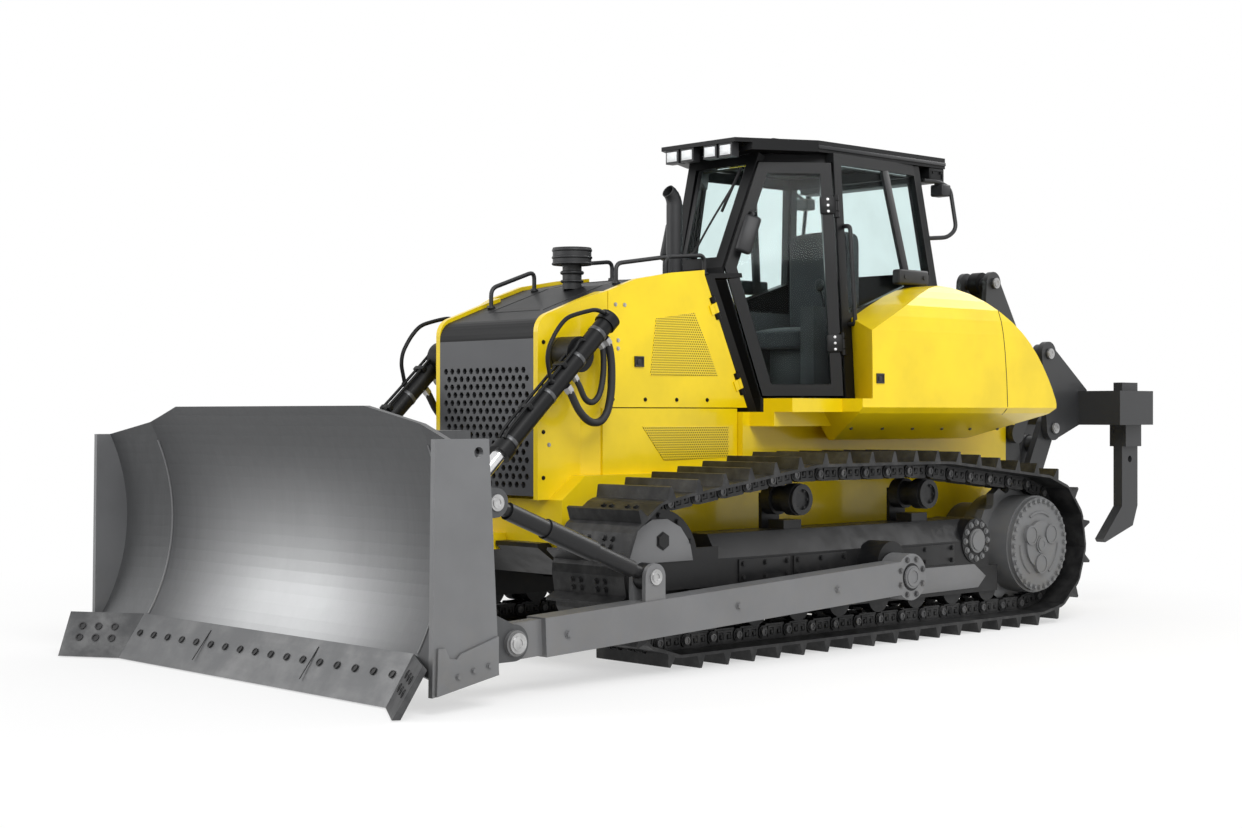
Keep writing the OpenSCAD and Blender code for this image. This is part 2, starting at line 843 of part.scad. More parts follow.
// The pipe's upper end bends forward in short mitred lengths
exhaust_step = exhaust_bend / exhaust_steps;
exhaust_lap = exhaust_r * tan(exhaust_step / 2);
function exhaust_at(i) = [
    exhaust_x,
    exhaust_y - exhaust_bend_r * (1 - cos(i * exhaust_step)),
    exhaust_knee_z + exhaust_bend_r * sin(i * exhaust_step)
];
module exhaust_bit(i, r, over) {
    along = unit(exhaust_at(i + 1) - exhaust_at(i));
    strut(exhaust_at(i) - along * exhaust_lap, exhaust_at(i + 1) + along * over, r - (i + 1) * exhaust_taper);
}
module exhaust_stack() {
    foot = [exhaust_x, exhaust_y, hood_z(exhaust_y) - 2 * rim_drop];
    color("#1d1e20") placed() difference() {
        union() {
            strut(foot, exhaust_at(0) + [0, 0, exhaust_lap], exhaust_r);
            for (i = [0 : exhaust_steps - 2]) exhaust_bit(i, exhaust_r, exhaust_lap);
            exhaust_bit(exhaust_steps - 1, exhaust_r, 0);
        }
        for (i = [1 : exhaust_steps - 1]) exhaust_bit(i, exhaust_r - exhaust_wall, exhaust_lap);
        hood_cutter();
    }
}

// Grab rails on the hood's top, seated on it
rail_xs = [-330, 330, -330, 330];
rail_y0s = [-3330, -2950, -2700, -2560];
rail_lens = [330, 420, 330, 330];
module grab_rails() {
    color("#1d1e20") placed() for (i = [0 : len(rail_xs) - 1]) {
        y0 = rail_y0s[i];
        y1 = y0 + rail_lens[i];
        rail_post(rail_xs[i], y0);
        rail_post(rail_xs[i], y1);
        strut([rail_xs[i], y0 - rail_d / 2, hood_z(y0) + rail_rise],
            [rail_xs[i], y1 + rail_d / 2, hood_z(y1) + rail_rise], rail_d / 2);
    }
}
module rail_post(x, y) {
    difference() {
        translate([x, y, hood_z(y) - 2 * rim_drop]) cylinder(d = rail_post_d, h = rail_rise + 2 * rim_drop);
        hood_cutter();
    }
}

// Fender: its side profile drawn out, cut back by the section that leans in over the cab
fender_lean_shares = [0, 0.02, 0.055, 0.11, 0.2, 0.34, 0.52, 0.74, 1];
fender_lean_zs = [1560, 1740, 1850, 1940, 2010, 2064, 2108, 2146, 2180];
fender_lean_n = len(fender_lean_zs) - 1;
module fender_body() {
    intersection() {
        drawn_x(fender_in, fender_out)
            polygon([for (i = [0 : len(fender_ys) - 1]) [fender_ys[i], fender_zs[i]]]);
        translate([0, hull_rear_y, 0]) rotate([90, 0, 0])
            linear_extrude(2 * hull_rear_y - fender_front_y) polygon(concat(
                [[fender_in, fender_low_z], [fender_in + panel_t, fender_low_z]],
                [[fender_out - panel_t, fender_crease_z], [fender_out, fender_crease_z + panel_t]],
                [for (i = [0 : fender_lean_n])
                    [fender_out - fender_lean * fender_lean_shares[i], fender_lean_zs[i]]],
                [[fender_in, fender_lean_zs[fender_lean_n]]]));
    }
}
module fender() {
    difference() {
        union() {
            fender_body();
            box([fender_in, deck_front_y, hull_deck_z], [deck_out, b_low.y + deck_t, floor_z]);
            box([hull_half + seat, deck_front_y, hull_deck_z - deck_t],
                [fender_in + deck_t, hull_rear_y - hull_chin, hull_deck_z]);
        }
        // Room for the cab, from the deck up
        intersection() {
            translate(side_n * seat) sheet(side_loop, fender_out, -fender_lean);
            box([0, deck_front_y - fender_lean, hull_deck_z],
                [fender_out, hull_rear_y + fender_lean, roof_z]);
        }
        // The front face runs forward as it goes out, so that the door swings past it
        translate([b_low.x, b_low.y + deck_t, floor_z]) rotate([0, 0, -fender_front_angle])
            translate([-fender_out, -fender_out, 0]) cube([2 * fender_out, fender_out, fender_out]);
    }
}
module fender_left() {
    color("#edb91f") placed() fender();
}
module fender_right() {
    color("#edb91f") placed() mirror([1, 0, 0]) fender();
}

// Room between the cab's floor and its roof
module cab_room() {
    box([-fender_out, deck_front_y, floor_z + seat], [fender_out, 0, cab_top_z]);
}

module cab_floor() {
    foot = [a_low_d, b_low, c_low_d];
    plan = concat([for (p = foot) [p.x, p.y]], [for (p = backwards(foot)) [-p.x, p.y]]);
    color("#1d1e20") placed() translate([0, 0, hull_deck_z + seat])
        linear_extrude(floor_z - hull_deck_z - seat) polygon(plan);
}

// What a door needs clear around it
module door_way() {
    translate(flat_n(door_loop) * wall_t) sheet(door_loop, 3 * wall_t, door_in - door_gap);
}
module cab_front() {
    color("#17181a") placed() difference() {
        intersection() {
            union() {
                framed(front_loop, wall_t, post_w);
                sheet(dash_loop, wall_t);
            }
            cab_room();
        }
        both() door_way();
    }
}

module cab_side() {
    difference() {
        intersection() {
            sheet(side_loop, wall_t);
            cab_room();
        }
        translate(flat_n(side_loop) * cut) sheet(side_window, wall_t + 2 * cut, post_w);
        translate(flat_n(rear_loop) * cut) sheet(rear_loop, wall_t + cut + seat, -2 * wall_t);
        door_way();
        cab_hinges() hinge_room();
    }
    cab_hinges() hinge_pin();
}
module cab_side_left() {
    color("#17181a") placed() cab_side();
}
module cab_side_right() {
    color("#17181a") placed() mirror([1, 0, 0]) cab_side();
}

module cab_rear() {
    color("#17181a") placed() difference() {
        intersection() {
            sheet(rear_loop, wall_t);
            cab_room();
        }
        translate(flat_n(rear_loop) * cut) sheet(rear_window, wall_t + 2 * cut, post_w);
    }
}

module cab_roof() {
    plan = [
        [-roof_front.x, roof_front.y], [roof_front.x, roof_front.y], [roof_wide, roof_wide_y],
        [roof_wide, roof_rear_y], [-roof_wide, roof_rear_y], [-roof_wide, roof_wide_y]
    ];
    color("#17181a") placed() difference() {
        translate([0, 0, cab_top_z + seat]) linear_extrude(roof_z - cab_top_z - seat) polygon(plan);
        box([-roof_wide, roof_front.y - cut, cab_top_z],
            [roof_wide, roof_front.y + visor_d, roof_z - visor_t]);
    }
}

module cab_glass() {
    color("#6fa8b0", 0.4) placed() {
        pane(front_loop, post_w);
        pane(rear_window, post_w);
        pane(side_window, post_w);
        mirror([1, 0, 0]) pane(side_window, post_w);
    }
}

// Doors stand a gap inside the pillars' line
module cab_door() {
    difference() {
        sheet(door_loop, wall_t, door_in);
        translate(flat_n(door_loop) * cut) sheet(door_loop, wall_t + 2 * cut, door_in + post_w);
        cab_hinges() hinge_bore();
    }
    cab_hinges() hinge_sleeve();
}
module cab_door_left() {
    color("#17181a") placed() cab_door();
}
module cab_door_right() {
    color("#17181a") placed() mirror([1, 0, 0]) cab_door();
}
module door_glass_left() {
    color("#6fa8b0", 0.4) placed() pane(door_loop, door_in + post_w);
}
module door_glass_right() {
    color("#6fa8b0", 0.4) placed() mirror([1, 0, 0]) pane(door_loop, door_in + post_w);
}

seat_half = 260;
seat_ys = [-1250, -700];
seat_z = 1900;
seat_head = 400;
seat_back_z = cab_top_z - seat_head;
seat_pad = 130;
module seat_base() {
    color("#202124") placed() {
        box([-seat_half / 2, seat_ys[0] + seat_pad, floor_z + seat],
            [seat_half / 2, seat_ys[1] - seat_pad, seat_z - seat_pad]);
        box([-seat_half, seat_ys[0], seat_z - seat_pad], [seat_half, seat_ys[1], seat_z]);
        box([-seat_half, seat_ys[1] - seat_pad, seat_z - seat_pad], [seat_half, seat_ys[1], seat_back_z]);
    }
}
console_w = 110;
console_gap = 60;
console_z = 2020;
module consoles() {
    color("#26282b") placed() {
        both() box([seat_half + console_gap, seat_ys[0] - console_w, floor_z + seat],
            [seat_half + console_gap + console_w, seat_ys[1], console_z]);
    }
}

lamp_w = 112;
lamp_h = 85;
lamp_d = 60;
lamp_in = 8;
lamp_xs = [-232, -100, 100, 232];
module work_lamps() {
    front_y = roof_front.y + lamp_in;
    hang_z = roof_z - visor_t - seat;
    color("#dfe3e4") placed() {
        for (x = lamp_xs)
            box([x - lamp_w / 2, front_y, hang_z - lamp_h], [x + lamp_w / 2, front_y + lamp_d, hang_z]);
        both() box([roof_wide - 2 * lamp_w, roof_rear_y + seat, roof_z - lamp_h],
            [roof_wide - lamp_w, roof_rear_y + lamp_d, roof_z - visor_t]);
    }
}

module track_frame() {
    difference() {
        union() {
            translate([track_x, frame_rear_y, 0]) rotate([90, 0, 0])
                linear_extrude(frame_rear_y - frame_front_y) polygon([
                    [-frame_half, frame_low_z], [frame_half, frame_low_z], [frame_half, frame_cap_z],
                    [frame_cap_half, frame_top_z], [-frame_half, frame_top_z]]);
            for (s = [-1, 1]) {
                translate([track_x + s * (skirt_half + skirt_t / 2), 0, 0])
                    box([-skirt_t / 2, skirt_front_y, skirt_low_z],
                        [skirt_t / 2, skirt_rear_y, frame_low_z + cut]);
                translate([track_x + s * (fork_half + fork_t / 2), 0, 0])
                    box([-fork_t / 2, fork_front_y, fork_low_z],
                        [fork_t / 2, frame_front_y + cut, fork_high_z]);
            }
            for (y = carrier_ys) box([track_x - skirt_half / 2, y - post_half_y, frame_cap_z],
                [track_x + skirt_half / 2, y + post_half_y, carrier_z - carrier_flange_r - run_gap]);
            for (y = carrier_ys)
                box([track_x - carrier_half - carrier_cap - seat, y - post_half_y, frame_cap_z],
                [track_x - carrier_half - seat, y + post_half_y, carrier_z + shaft_r]);
            bar_x(track_x - frame_half - cut, pivot_out, pivot_y, pivot_z, pivot_r);
            bar_x(track_x + frame_half - cut, arm_in - run_gap,
                trunnion_y, trunnion_z + frame_cap_half, trunnion_flange_r);
            bar_x(track_x + frame_half - cut, arm_out, trunnion_y, trunnion_z, trunnion_r);
            drawn_x(track_x + fork_half + fork_t, track_x + fork_half + fork_t + guard_t) guard_shape();
            drawn_x(track_x + fork_half + fork_t - cut, track_x + fork_half + fork_t + guard_t)
                polygon([
                    [guard_y, fork_low_z], [frame_front_y, fork_low_z], [frame_front_y, guard_low_z + cut],
                [guard_y, guard_low_z + cut]]);
        }
        bar_x(track_x - idler_half, track_x + idler_half, idler_y, idler_z, idler_flange_r + link_down);
        bar_x(track_x - skirt_half - skirt_t - cut, track_x + fork_half + fork_t - cut,
            idler_y, idler_z, idler_shaft_r + seat);
        bar_x(0, track_x - frame_half + seat, pivot_y, pivot_z, pivot_r + cut);
    }
}
module guard_shape() {
    intersection() {
        translate([guard_y, guard_z]) circle(r = guard_r);
        translate([guard_y - guard_r, guard_low_z]) square([2 * guard_r, guard_r]);
    }
}
module track_frame_left() {
    color("#232527") placed() track_frame();
}
module track_frame_right() {
    color("#232527") placed() mirror([1, 0, 0]) track_frame();
}

module track_loop() {
    difference() {
        union() {
            drawn_x(track_x - shoe_w / 2, track_x + shoe_w / 2) ring(shoe_loop, shoe_in_loop);
            for (s = [-1, 1]) drawn_x(track_x + s * link_x - link_t / 2, track_x + s * link_x + link_t / 2)
                ring(link_out_loop, link_in_loop);
        }
    }
}
module ring(outer, inner) {
    n = len(outer);
    m = len(inner);
    polygon(concat(outer, inner), [[for (i = [0 : n - 1]) i], [for (i = [0 : m - 1]) n + i]]);
}
module track_left() {
    color("#3b3d40") placed() track_loop();
}
module track_right() {
    color("#3b3d40") placed() mirror([1, 0, 0]) track_loop();
}

// A tooth's outline, as shares of the angle between two teeth
tooth_shares = [-0.42, -0.16, 0.16, 0.42];
tooth_rs = [tooth_root_r, tooth_tip_r, tooth_tip_r, tooth_root_r];
module sprocket() {
    translate([0, 0, sprocket_z]) {
        drawn_x(track_x - tooth_w / 2, track_x + tooth_w / 2) polygon([
            for (i = [0 : tooth_count - 1]) for (j = [0 : 3])
                let (a = (i + tooth_shares[j]) * 360 / tooth_count) tooth_rs[j] * [cos(a), sin(a)]]);
        turned_x([
            [hull_half + seat, 0], [hull_half + seat, drum_in_r], [drum_in, drum_in_r], [drum_in, drum_r],
            [drum_out, drum_r], [drum_out, cover_r], [drum_out + cover_t, cover_r],
            [drum_out + cover_t, boss_r], [drum_out + cover_t + boss_t, boss_r],
            [drum_out + cover_t + boss_t, plug_r], [drum_out + cover_t + boss_t + plug_t, plug_r],
            [drum_out + cover_t + boss_t + plug_t, 0]
        ]);
    }
}
module sprockets() {
    color("#44464a") placed() both() sprocket();
}

module idler() {
    translate([track_x, idler_y, idler_z]) turned_x([
        [-fork_half - fork_t + cut, 0], [-fork_half - fork_t + cut, idler_shaft_r],
        [-idler_half, idler_shaft_r],
        [-idler_half, idler_hub_r], [-idler_web_half, idler_hub_r],
        [-idler_web_half, idler_tread_r - idler_rim_t], [-idler_half, idler_tread_r - idler_rim_t],
        [-idler_half, idler_tread_r], [-idler_flange_half, idler_tread_r],
        [-idler_flange_half, idler_flange_r], [idler_flange_half, idler_flange_r],
        [idler_flange_half, idler_tread_r], [idler_half, idler_tread_r],
        [idler_half, idler_tread_r - idler_rim_t], [idler_web_half, idler_tread_r - idler_rim_t],
        [idler_web_half, idler_hub_r], [idler_half, idler_hub_r], [idler_half, idler_shaft_r],
        [fork_half + fork_t - cut, idler_shaft_r], [fork_half + fork_t - cut, 0]
    ]);
}
module idlers() {
    color("#34363a") placed() both() idler();
}

module track_roller(half, r, flange_r) {
    turned_x([
        [-half, 0], [-half, r], [-half + roller_flange_t, r],
        [-roller_waist, r], [-roller_waist, r * waist_share],
        [roller_waist, r * waist_share], [roller_waist, r],
        [half - roller_flange_t, r], [half, r], [half, 0]
    ]);
}
module track_rollers() {
    color("#34363a") placed() both() for (i = [0 : roller_n - 1])
        translate([track_x, between(roller_first_y, roller_last_y, i / (roller_n - 1)), roller_z])
            track_roller(roller_half, roller_r, roller_flange_r);
}
module carrier_rollers() {
    color("#34363a") placed() both() for (y = carrier_ys)
        translate([track_x, y, carrier_z]) track_roller(carrier_half, carrier_face_r, carrier_flange_r);
}

module pivot_shafts() {
    color("#34363a") placed() both()
        bar_x(hull_half + seat, track_x - frame_half, pivot_y, pivot_z, pivot_shaft_r);
}
module equalizer_bar() {
    low = hull_low_z - guard_thick - seat;
    color("#34363a") placed() difference() {
        box([-(track_x - frame_half - seat), bar_y - bar_half_y, low - bar_h],
            [track_x - frame_half - seat, bar_y + bar_half_y, low]);
    }
}

// Pins that carry the lift cylinders' yokes on the nose
module lift_pivots() {
    color("#2a2c2f") placed() both() {
        bar_x(nose_half + seat, lug_x - lift_cap_d / 2 - 2 * run_gap, lift_y, lift_z, yoke_pin_r);
        bar_x(nose_half + seat, nose_half + panel_t, lift_y, lift_z, yoke_r);
    }
}

// Lift cylinders lie along their own line, turned down from the horizontal
module along_lift() {
    translate([lug_x, lift_y, lift_z]) rotate([90 - lift_tilt, 0, 0]) children();
}
module lift_barrel() {
    difference() {
        union() {
            along_lift() translate([0, 0, -lift_back])
                cylinder(d = lift_barrel_d, h = lift_back + lift_front);
            along_lift() translate([0, 0, lift_front - lift_cap_t]) cylinder(d = lift_cap_d, h = lift_cap_t);
            along_lift() translate([0, 0, -lift_back]) cylinder(d = lift_cap_d, h = lift_cap_t);
            bar_x(nose_half + panel_t + run_gap, lug_x, lift_y, lift_z, yoke_r);
        }
        along_lift() translate([0, 0, -lift_back + lift_cap_t])
            cylinder(d = lift_bore_d, h = lift_back + lift_front);
        bar_x(nose_half, lug_x - lift_cap_d / 2, lift_y, lift_z, yoke_pin_r + pin_gap);
    }
}
module lift_barrels() {
    color("#202124") placed() both() lift_barrel();
}
module lift_rod() {
    difference() {
        union() {
            along_lift() translate([0, 0, lift_rod_in]) cylinder(d = lift_rod_d, h = lift_len - lift_rod_in);
            bar_x(lug_x - lift_eye_t / 2, lug_x + lift_eye_t / 2, lug_pin_y, lug_pin_z, lift_eye_r);
        }
        bar_x(lug_x - lift_eye_t, lug_x + lift_eye_t, lug_pin_y, lug_pin_z, lug_pin_r);
    }
}
module lift_rods() {
    color("#b9bcbe") placed() both() lift_rod();
}

// Push arm: a box beam from the trunnion to the blade, with a tongue between the blade's ears
arm_dir = unit([arm_pin_y - trunnion_y, arm_pin_z - trunnion_z]);
arm_up = right_of(arm_dir);
function on_arm(along, up) = [trunnion_y, trunnion_z] + along * arm_dir + up * arm_up;
arm_len = norm([arm_pin_y - trunnion_y, arm_pin_z - trunnion_z]);
module push_arm() {
    difference() {
        union() {
            drawn_x(arm_in, arm_out) polygon([
                on_arm(-arm_end_r * arm_tail_share, -arm_h / 2), on_arm(arm_len - tongue_len, -arm_h / 2),
                on_arm(arm_len - tongue_len, arm_h / 2), on_arm(-arm_end_r * arm_tail_share, arm_h / 2)]);
            bar_x(arm_in, arm_out, trunnion_y, trunnion_z, arm_end_r);
            drawn_x(arm_mid_x - tongue_t / 2, arm_mid_x + tongue_t / 2) polygon([
                on_arm(arm_len - tongue_len - cut, -tongue_r), on_arm(arm_len, -tongue_r),
                on_arm(arm_len, tongue_r), on_arm(arm_len - tongue_len - cut, tongue_r)]);
            bar_x(arm_mid_x - tongue_t / 2, arm_mid_x + tongue_t / 2, arm_pin_y, arm_pin_z, tongue_r);
            bar_x(arm_in - seat - arm_head_t, arm_out + seat + arm_head_t, arm_pin_y, arm_pin_z, arm_pin_r);
            bar_x(arm_out + seat, arm_out + seat + arm_head_t, arm_pin_y, arm_pin_z, arm_head_r);
            bar_x(arm_in - seat - arm_head_t, arm_in - seat, arm_pin_y, arm_pin_z, arm_head_r);
            for (s = [-1, 1]) brace_lug(brace_low_y, brace_low_z, s);
        }
        bar_x(arm_in - cut, arm_out + cut, trunnion_y, trunnion_z, trunnion_r + pin_gap);
    }
}
// Ear plates that hold a brace end, standing on the arm
module brace_lug(y, z, s) {
    x = arm_mid_x + s * (brace_eye_t / 2 + seat + brace_lug_t / 2);
    translate([x - brace_lug_t / 2, 0, 0]) {
        bar_x(0, brace_lug_t, y, z, brace_eye_r);
        box([0, y - brace_eye_r, z - brace_lug_foot], [brace_lug_t, y + brace_eye_r, z]);
    }
}
module push_arm_left() {
    color("#55585c") placed() push_arm();
}
module push_arm_right() {
    color("#55585c") placed() mirror([1, 0, 0]) push_arm();
}

brace_a = [arm_mid_x, brace_low_y, brace_low_z];
brace_b = [arm_mid_x, brace_up_y, brace_up_z];
module brace_ends() {
    bar_x(arm_mid_x - brace_eye_t / 2, arm_mid_x + brace_eye_t / 2, brace_low_y, brace_low_z, brace_eye_r);
    bar_x(arm_mid_x - brace_eye_t / 2, arm_mid_x + brace_eye_t / 2, brace_up_y, brace_up_z, brace_eye_r);
}
module brace_tube(from, to, r) {
    strut(between(brace_a, brace_b, from), between(brace_a, brace_b, to), r);
}
module brace() {
    color("#55585c") placed() {
        brace_ends();
        strut(brace_a, brace_b, brace_neck_r);
        brace_tube(brace_neck_share, 1 - brace_neck_share, brace_r);
        brace_tube(brace_sleeve_shares[0], brace_sleeve_shares[1], brace_sleeve_r);
    }
}
module tilt_cylinder() {
    color("#55585c") placed() mirror([1, 0, 0]) {
        brace_ends();
        strut(brace_a, brace_b, tilt_rod_r);
        brace_tube(brace_neck_share, tilt_share, tilt_r);
    }
}

// The mouldboard's face in y and z: an arc, hollow towards the front
chord = [board_low_y, blade_top_z] - [board_low_y, board_low_z];
sag = board_r - sqrt(board_r * board_r - (chord * chord) / 4);
face_c = [board_low_y - board_r + sag, (blade_top_z + board_low_z) / 2];
face_half = asin(norm(chord) / 2 / board_r);
function face_at(share, r) = let (a = (share * 2 - 1) * face_half) face_c + r * [cos(a), sin(a)];
board_profile = concat(
    [for (i = [0 : board_steps]) face_at(i / board_steps, board_r)],
    [for (i = [board_steps : -1 : 0]) face_at(i / board_steps, board_r + board_t)]);
function squeezed(ps, y0, k) = [for (p = ps) [y0 + (p.x - y0) * k, p.y]];
wing_len = (wing_end_x - blade_mid) / cos(wing_angle) + board_t;
wing_profile = squeezed(board_profile, board_low_y, cos(wing_angle));

// Placed at the seam of the left wing, with x running out along the wing
module along_wing() {
    translate([blade_mid, board_low_y, 0]) rotate([0, 0, -wing_angle])
        translate([0, -board_low_y, 0]) children();
}
module blade_limits() {
    rotate([90, 0, 0]) translate([0, 0, blade_top_z]) linear_extrude(-tip_y * 2)
        polygon([[-wing_end_x, 0], [wing_end_x, 0], [wing_end_x, corner_z], [board_top_flat, blade_top_z],
        [-board_top_flat, blade_top_z], [-wing_end_x, corner_z]]);
}
module mouldboard() {
    color("#6a6e73") placed() {
        intersection() {
            union() {
                drawn_x(-blade_mid, blade_mid) polygon(board_profile);
                both() intersection() {
                    along_wing() drawn_x(-board_r, wing_len) polygon(wing_profile);
                    box([blade_mid - seat, tip_y * 2, 0], [bit_tip_x, 0, blade_top_z + cut]);
                }
            }
            blade_limits();
        }
        // Box stiffeners, upright ribs and lugs on the back
        for (z = boxes_z) difference() {
            box([-blade_mid, board_low_y, z], [blade_mid, back_y(z) + box_depth, z + box_h]);
            board_front();
        }
        for (x = rib_xs) difference() {
            box([x - rib_t / 2, board_low_y, boxes_z[0]],
                [x + rib_t / 2, back_y(boxes_z[0]) + rib_depth, boxes_z[1] + cut]);
            board_front();
        }
        both() for (s = [-1, 1]) difference() {
            lug_side(lug_x + s * (lug_gap + lug_t / 2), s);
            board_front();
            bar_x(lug_x - lug_gap, lug_x + lug_gap, lug_pin_y, lug_pin_z, lug_head_r);
        }
        both() for (x = [arm_in, arm_out - ear_t]) difference() {
            blade_ear(x);
            wing_front();
            bar_x(x - cut, x + ear_t + cut, arm_pin_y, arm_pin_z, arm_pin_r + pin_gap);
        }
        both() for (s = [-1, 1]) difference() {
            brace_ear(arm_mid_x + s * (brace_eye_t / 2 + seat + brace_lug_t / 2) - brace_lug_t / 2);
            wing_front();
        }
    }
}
function back_y(z) = face_c.x + sqrt(pow(board_r + board_t, 2) - pow(z - face_c.y, 2));
// Everything in front of the middle of the board's thickness
module board_front() {
    bar_x(-bit_tip_x, bit_tip_x, face_c.x, face_c.y, board_r + board_t / 2);
}
module wing_front() {
    mid_line = [for (i = [0 : board_steps]) face_at(i / board_steps, board_r + board_t / 2)];
    room = concat([[tip_y * 2, 0], [board_low_y, 0]], mid_line, [[board_low_y, roof_z], [tip_y * 2, roof_z]]);
    along_wing() drawn_x(-board_r, wing_len + board_r)
        polygon(squeezed(room, board_low_y, cos(wing_angle)));
}
module lug_side(x, s) {
    drawn_x(x - lug_t / 2, x + lug_t / 2) polygon([
        [board_low_y, lug_pin_z - lug_foot_h / 2],
        [back_y(lug_pin_z) + board_t, lug_pin_z - lug_foot_h / 2],
        [lug_pin_y, lug_pin_z - lug_r],
        [lug_pin_y, lug_pin_z + lug_r],
        [back_y(lug_pin_z) + board_t, lug_pin_z + lug_foot_h / 2],
        [board_low_y, lug_pin_z + lug_foot_h / 2]]);
    bar_x(x - lug_t / 2, x + lug_t / 2, lug_pin_y, lug_pin_z, lug_r);
    head_x = x + s * lug_t / 2;
    bar_x(head_x - lug_head_t / 2, head_x + lug_head_t / 2, lug_pin_y, lug_pin_z, lug_head_r);
}
module blade_ear(x) {
    drawn_x(x, x + ear_t) polygon([
        [tip_y, arm_pin_z - tongue_r], [arm_pin_y, arm_pin_z - tongue_r],
        [arm_pin_y, arm_pin_z + tongue_r], [back_y(boxes_z[0]), boxes_z[0] + box_h],
        [tip_y, boxes_z[0] + box_h]]);
    bar_x(x, x + ear_t, arm_pin_y, arm_pin_z, tongue_r);
}
module brace_ear(x) {
    drawn_x(x, x + brace_lug_t) polygon([
        [tip_y, brace_up_z - brace_lug_foot], [brace_up_y, brace_up_z - brace_eye_r],
        [brace_up_y, brace_up_z + brace_eye_r], [tip_y, brace_up_z + brace_lug_foot]]);
    bar_x(x, x + brace_lug_t, brace_up_y, brace_up_z, brace_eye_r);
}

// Cutting edge: a plate down the front of the board's foot, in y and z
edge_dir = unit([edge_tip_y - board_low_y, edge_lift - board_low_z]);
edge_n = right_of(edge_dir);
edge_top = [board_low_y, board_low_z] - edge_lap * edge_dir;
module cutting_edge() {
    color("#8b8e91") placed() difference() {
        drawn_x(-blade_mid, blade_mid) polygon(edge_plate);
        board_skin(seat);
    }
}
edge_plate = [
    edge_top + edge_t * edge_n,
    [edge_tip_y - edge_t / 2, edge_lift],
    [edge_tip_y + edge_t, edge_lift],
    edge_top
];
// The board and its wings, grown, as a cutter for what lies on it
module board_skin(d) {
    drawn_x(-blade_mid - cut, blade_mid + cut) offset(delta = d) polygon(board_profile);
}
module wing_skin(d) {
    along_wing() drawn_x(-board_t, wing_len + board_t) offset(delta = d) polygon(wing_profile);
}
bit_len = (bit_tip_x - blade_mid) / cos(bit_angle);
module along_bit() {
    translate([blade_mid, board_low_y, 0]) rotate([0, 0, -bit_angle])
        translate([0, -board_low_y, 0]) children();
}
module end_bits() {
    color("#8b8e91") placed() both() difference() {
        along_bit() drawn_x(-edge_t, bit_len) polygon(squeezed(edge_plate, board_low_y, cos(bit_angle)));
        wing_skin(seat);
        box([0, tip_y * 2, 0], [blade_mid + seat, 0, blade_top_z]);
        end_plate_block(seat);
    }
}
module end_plate_block(d) {
    drawn_x(wing_end_x - d, wing_end_x + end_plate_t + d) offset(delta = d) polygon(end_plate_outline);
}
end_plate_outline = [
    [end_plate_ys[3], end_plate_low_z], [end_plate_ys[2], end_plate_back_z],
    [end_plate_ys[1], corner_z], [end_plate_ys[0], corner_z]];
module end_plate() {
    difference() {
        drawn_x(wing_end_x + seat, wing_end_x + end_plate_t) polygon(end_plate_outline);
        bar_x(wing_end_x - cut, wing_end_x + end_plate_t + cut,
            end_plate_ys[1] - hole_in_y, corner_z - hole_in_z, hole_r);
    }
}
module end_plate_left() {
    color("#6a6e73") placed() end_plate();
}
module end_plate_right() {
    color("#6a6e73") placed() mirror([1, 0, 0]) end_plate();
}

// Ripper towers: two plates a side on the rear of the main frame, holding both pivots and the apex pin
up_piv_y = low_piv_y + up_shift;
up_piv_z = low_piv_z + up_rise;
up_pin_y = low_pin_y + up_shift;
up_pin_z = low_pin_z + up_rise;
tower_outline = [
    [hull_rear_y + seat, low_piv_z - rip_eye_r], [low_piv_y, low_piv_z - rip_eye_r],
    [low_piv_y + rip_eye_r, low_piv_z], [up_piv_y + rip_eye_r, up_piv_z],
    [tower_knee_y, tower_knee_z], [apex_y + apex_r, apex_z],
    [apex_y - apex_r, apex_z], [tower_foot_y, hull_deck_z + seat], [hull_rear_y + seat, hull_deck_z + seat]
];
module ripper_towers() {
    color("#55585c") placed() both() {
        for (x = tower_xs) difference() {
            union() {
                drawn_x(x - tower_t / 2, x + tower_t / 2) polygon(tower_outline);
                bar_x(x - tower_t / 2, x + tower_t / 2, apex_y, apex_z, apex_r);
                bar_x(x - tower_t / 2, x + tower_t / 2, low_piv_y, low_piv_z, rip_eye_r);
            }
            bar_x(x - tower_t, x + tower_t, low_piv_y, low_piv_z, rip_pin_r + pin_gap);
            bar_x(x - tower_t, x + tower_t, up_piv_y, up_piv_z, rip_pin_r + pin_gap);
        }
        bar_x(tower_xs[0] - tower_t, tower_xs[1] + tower_t, apex_y, apex_z, rip_pin_r);
    }
}

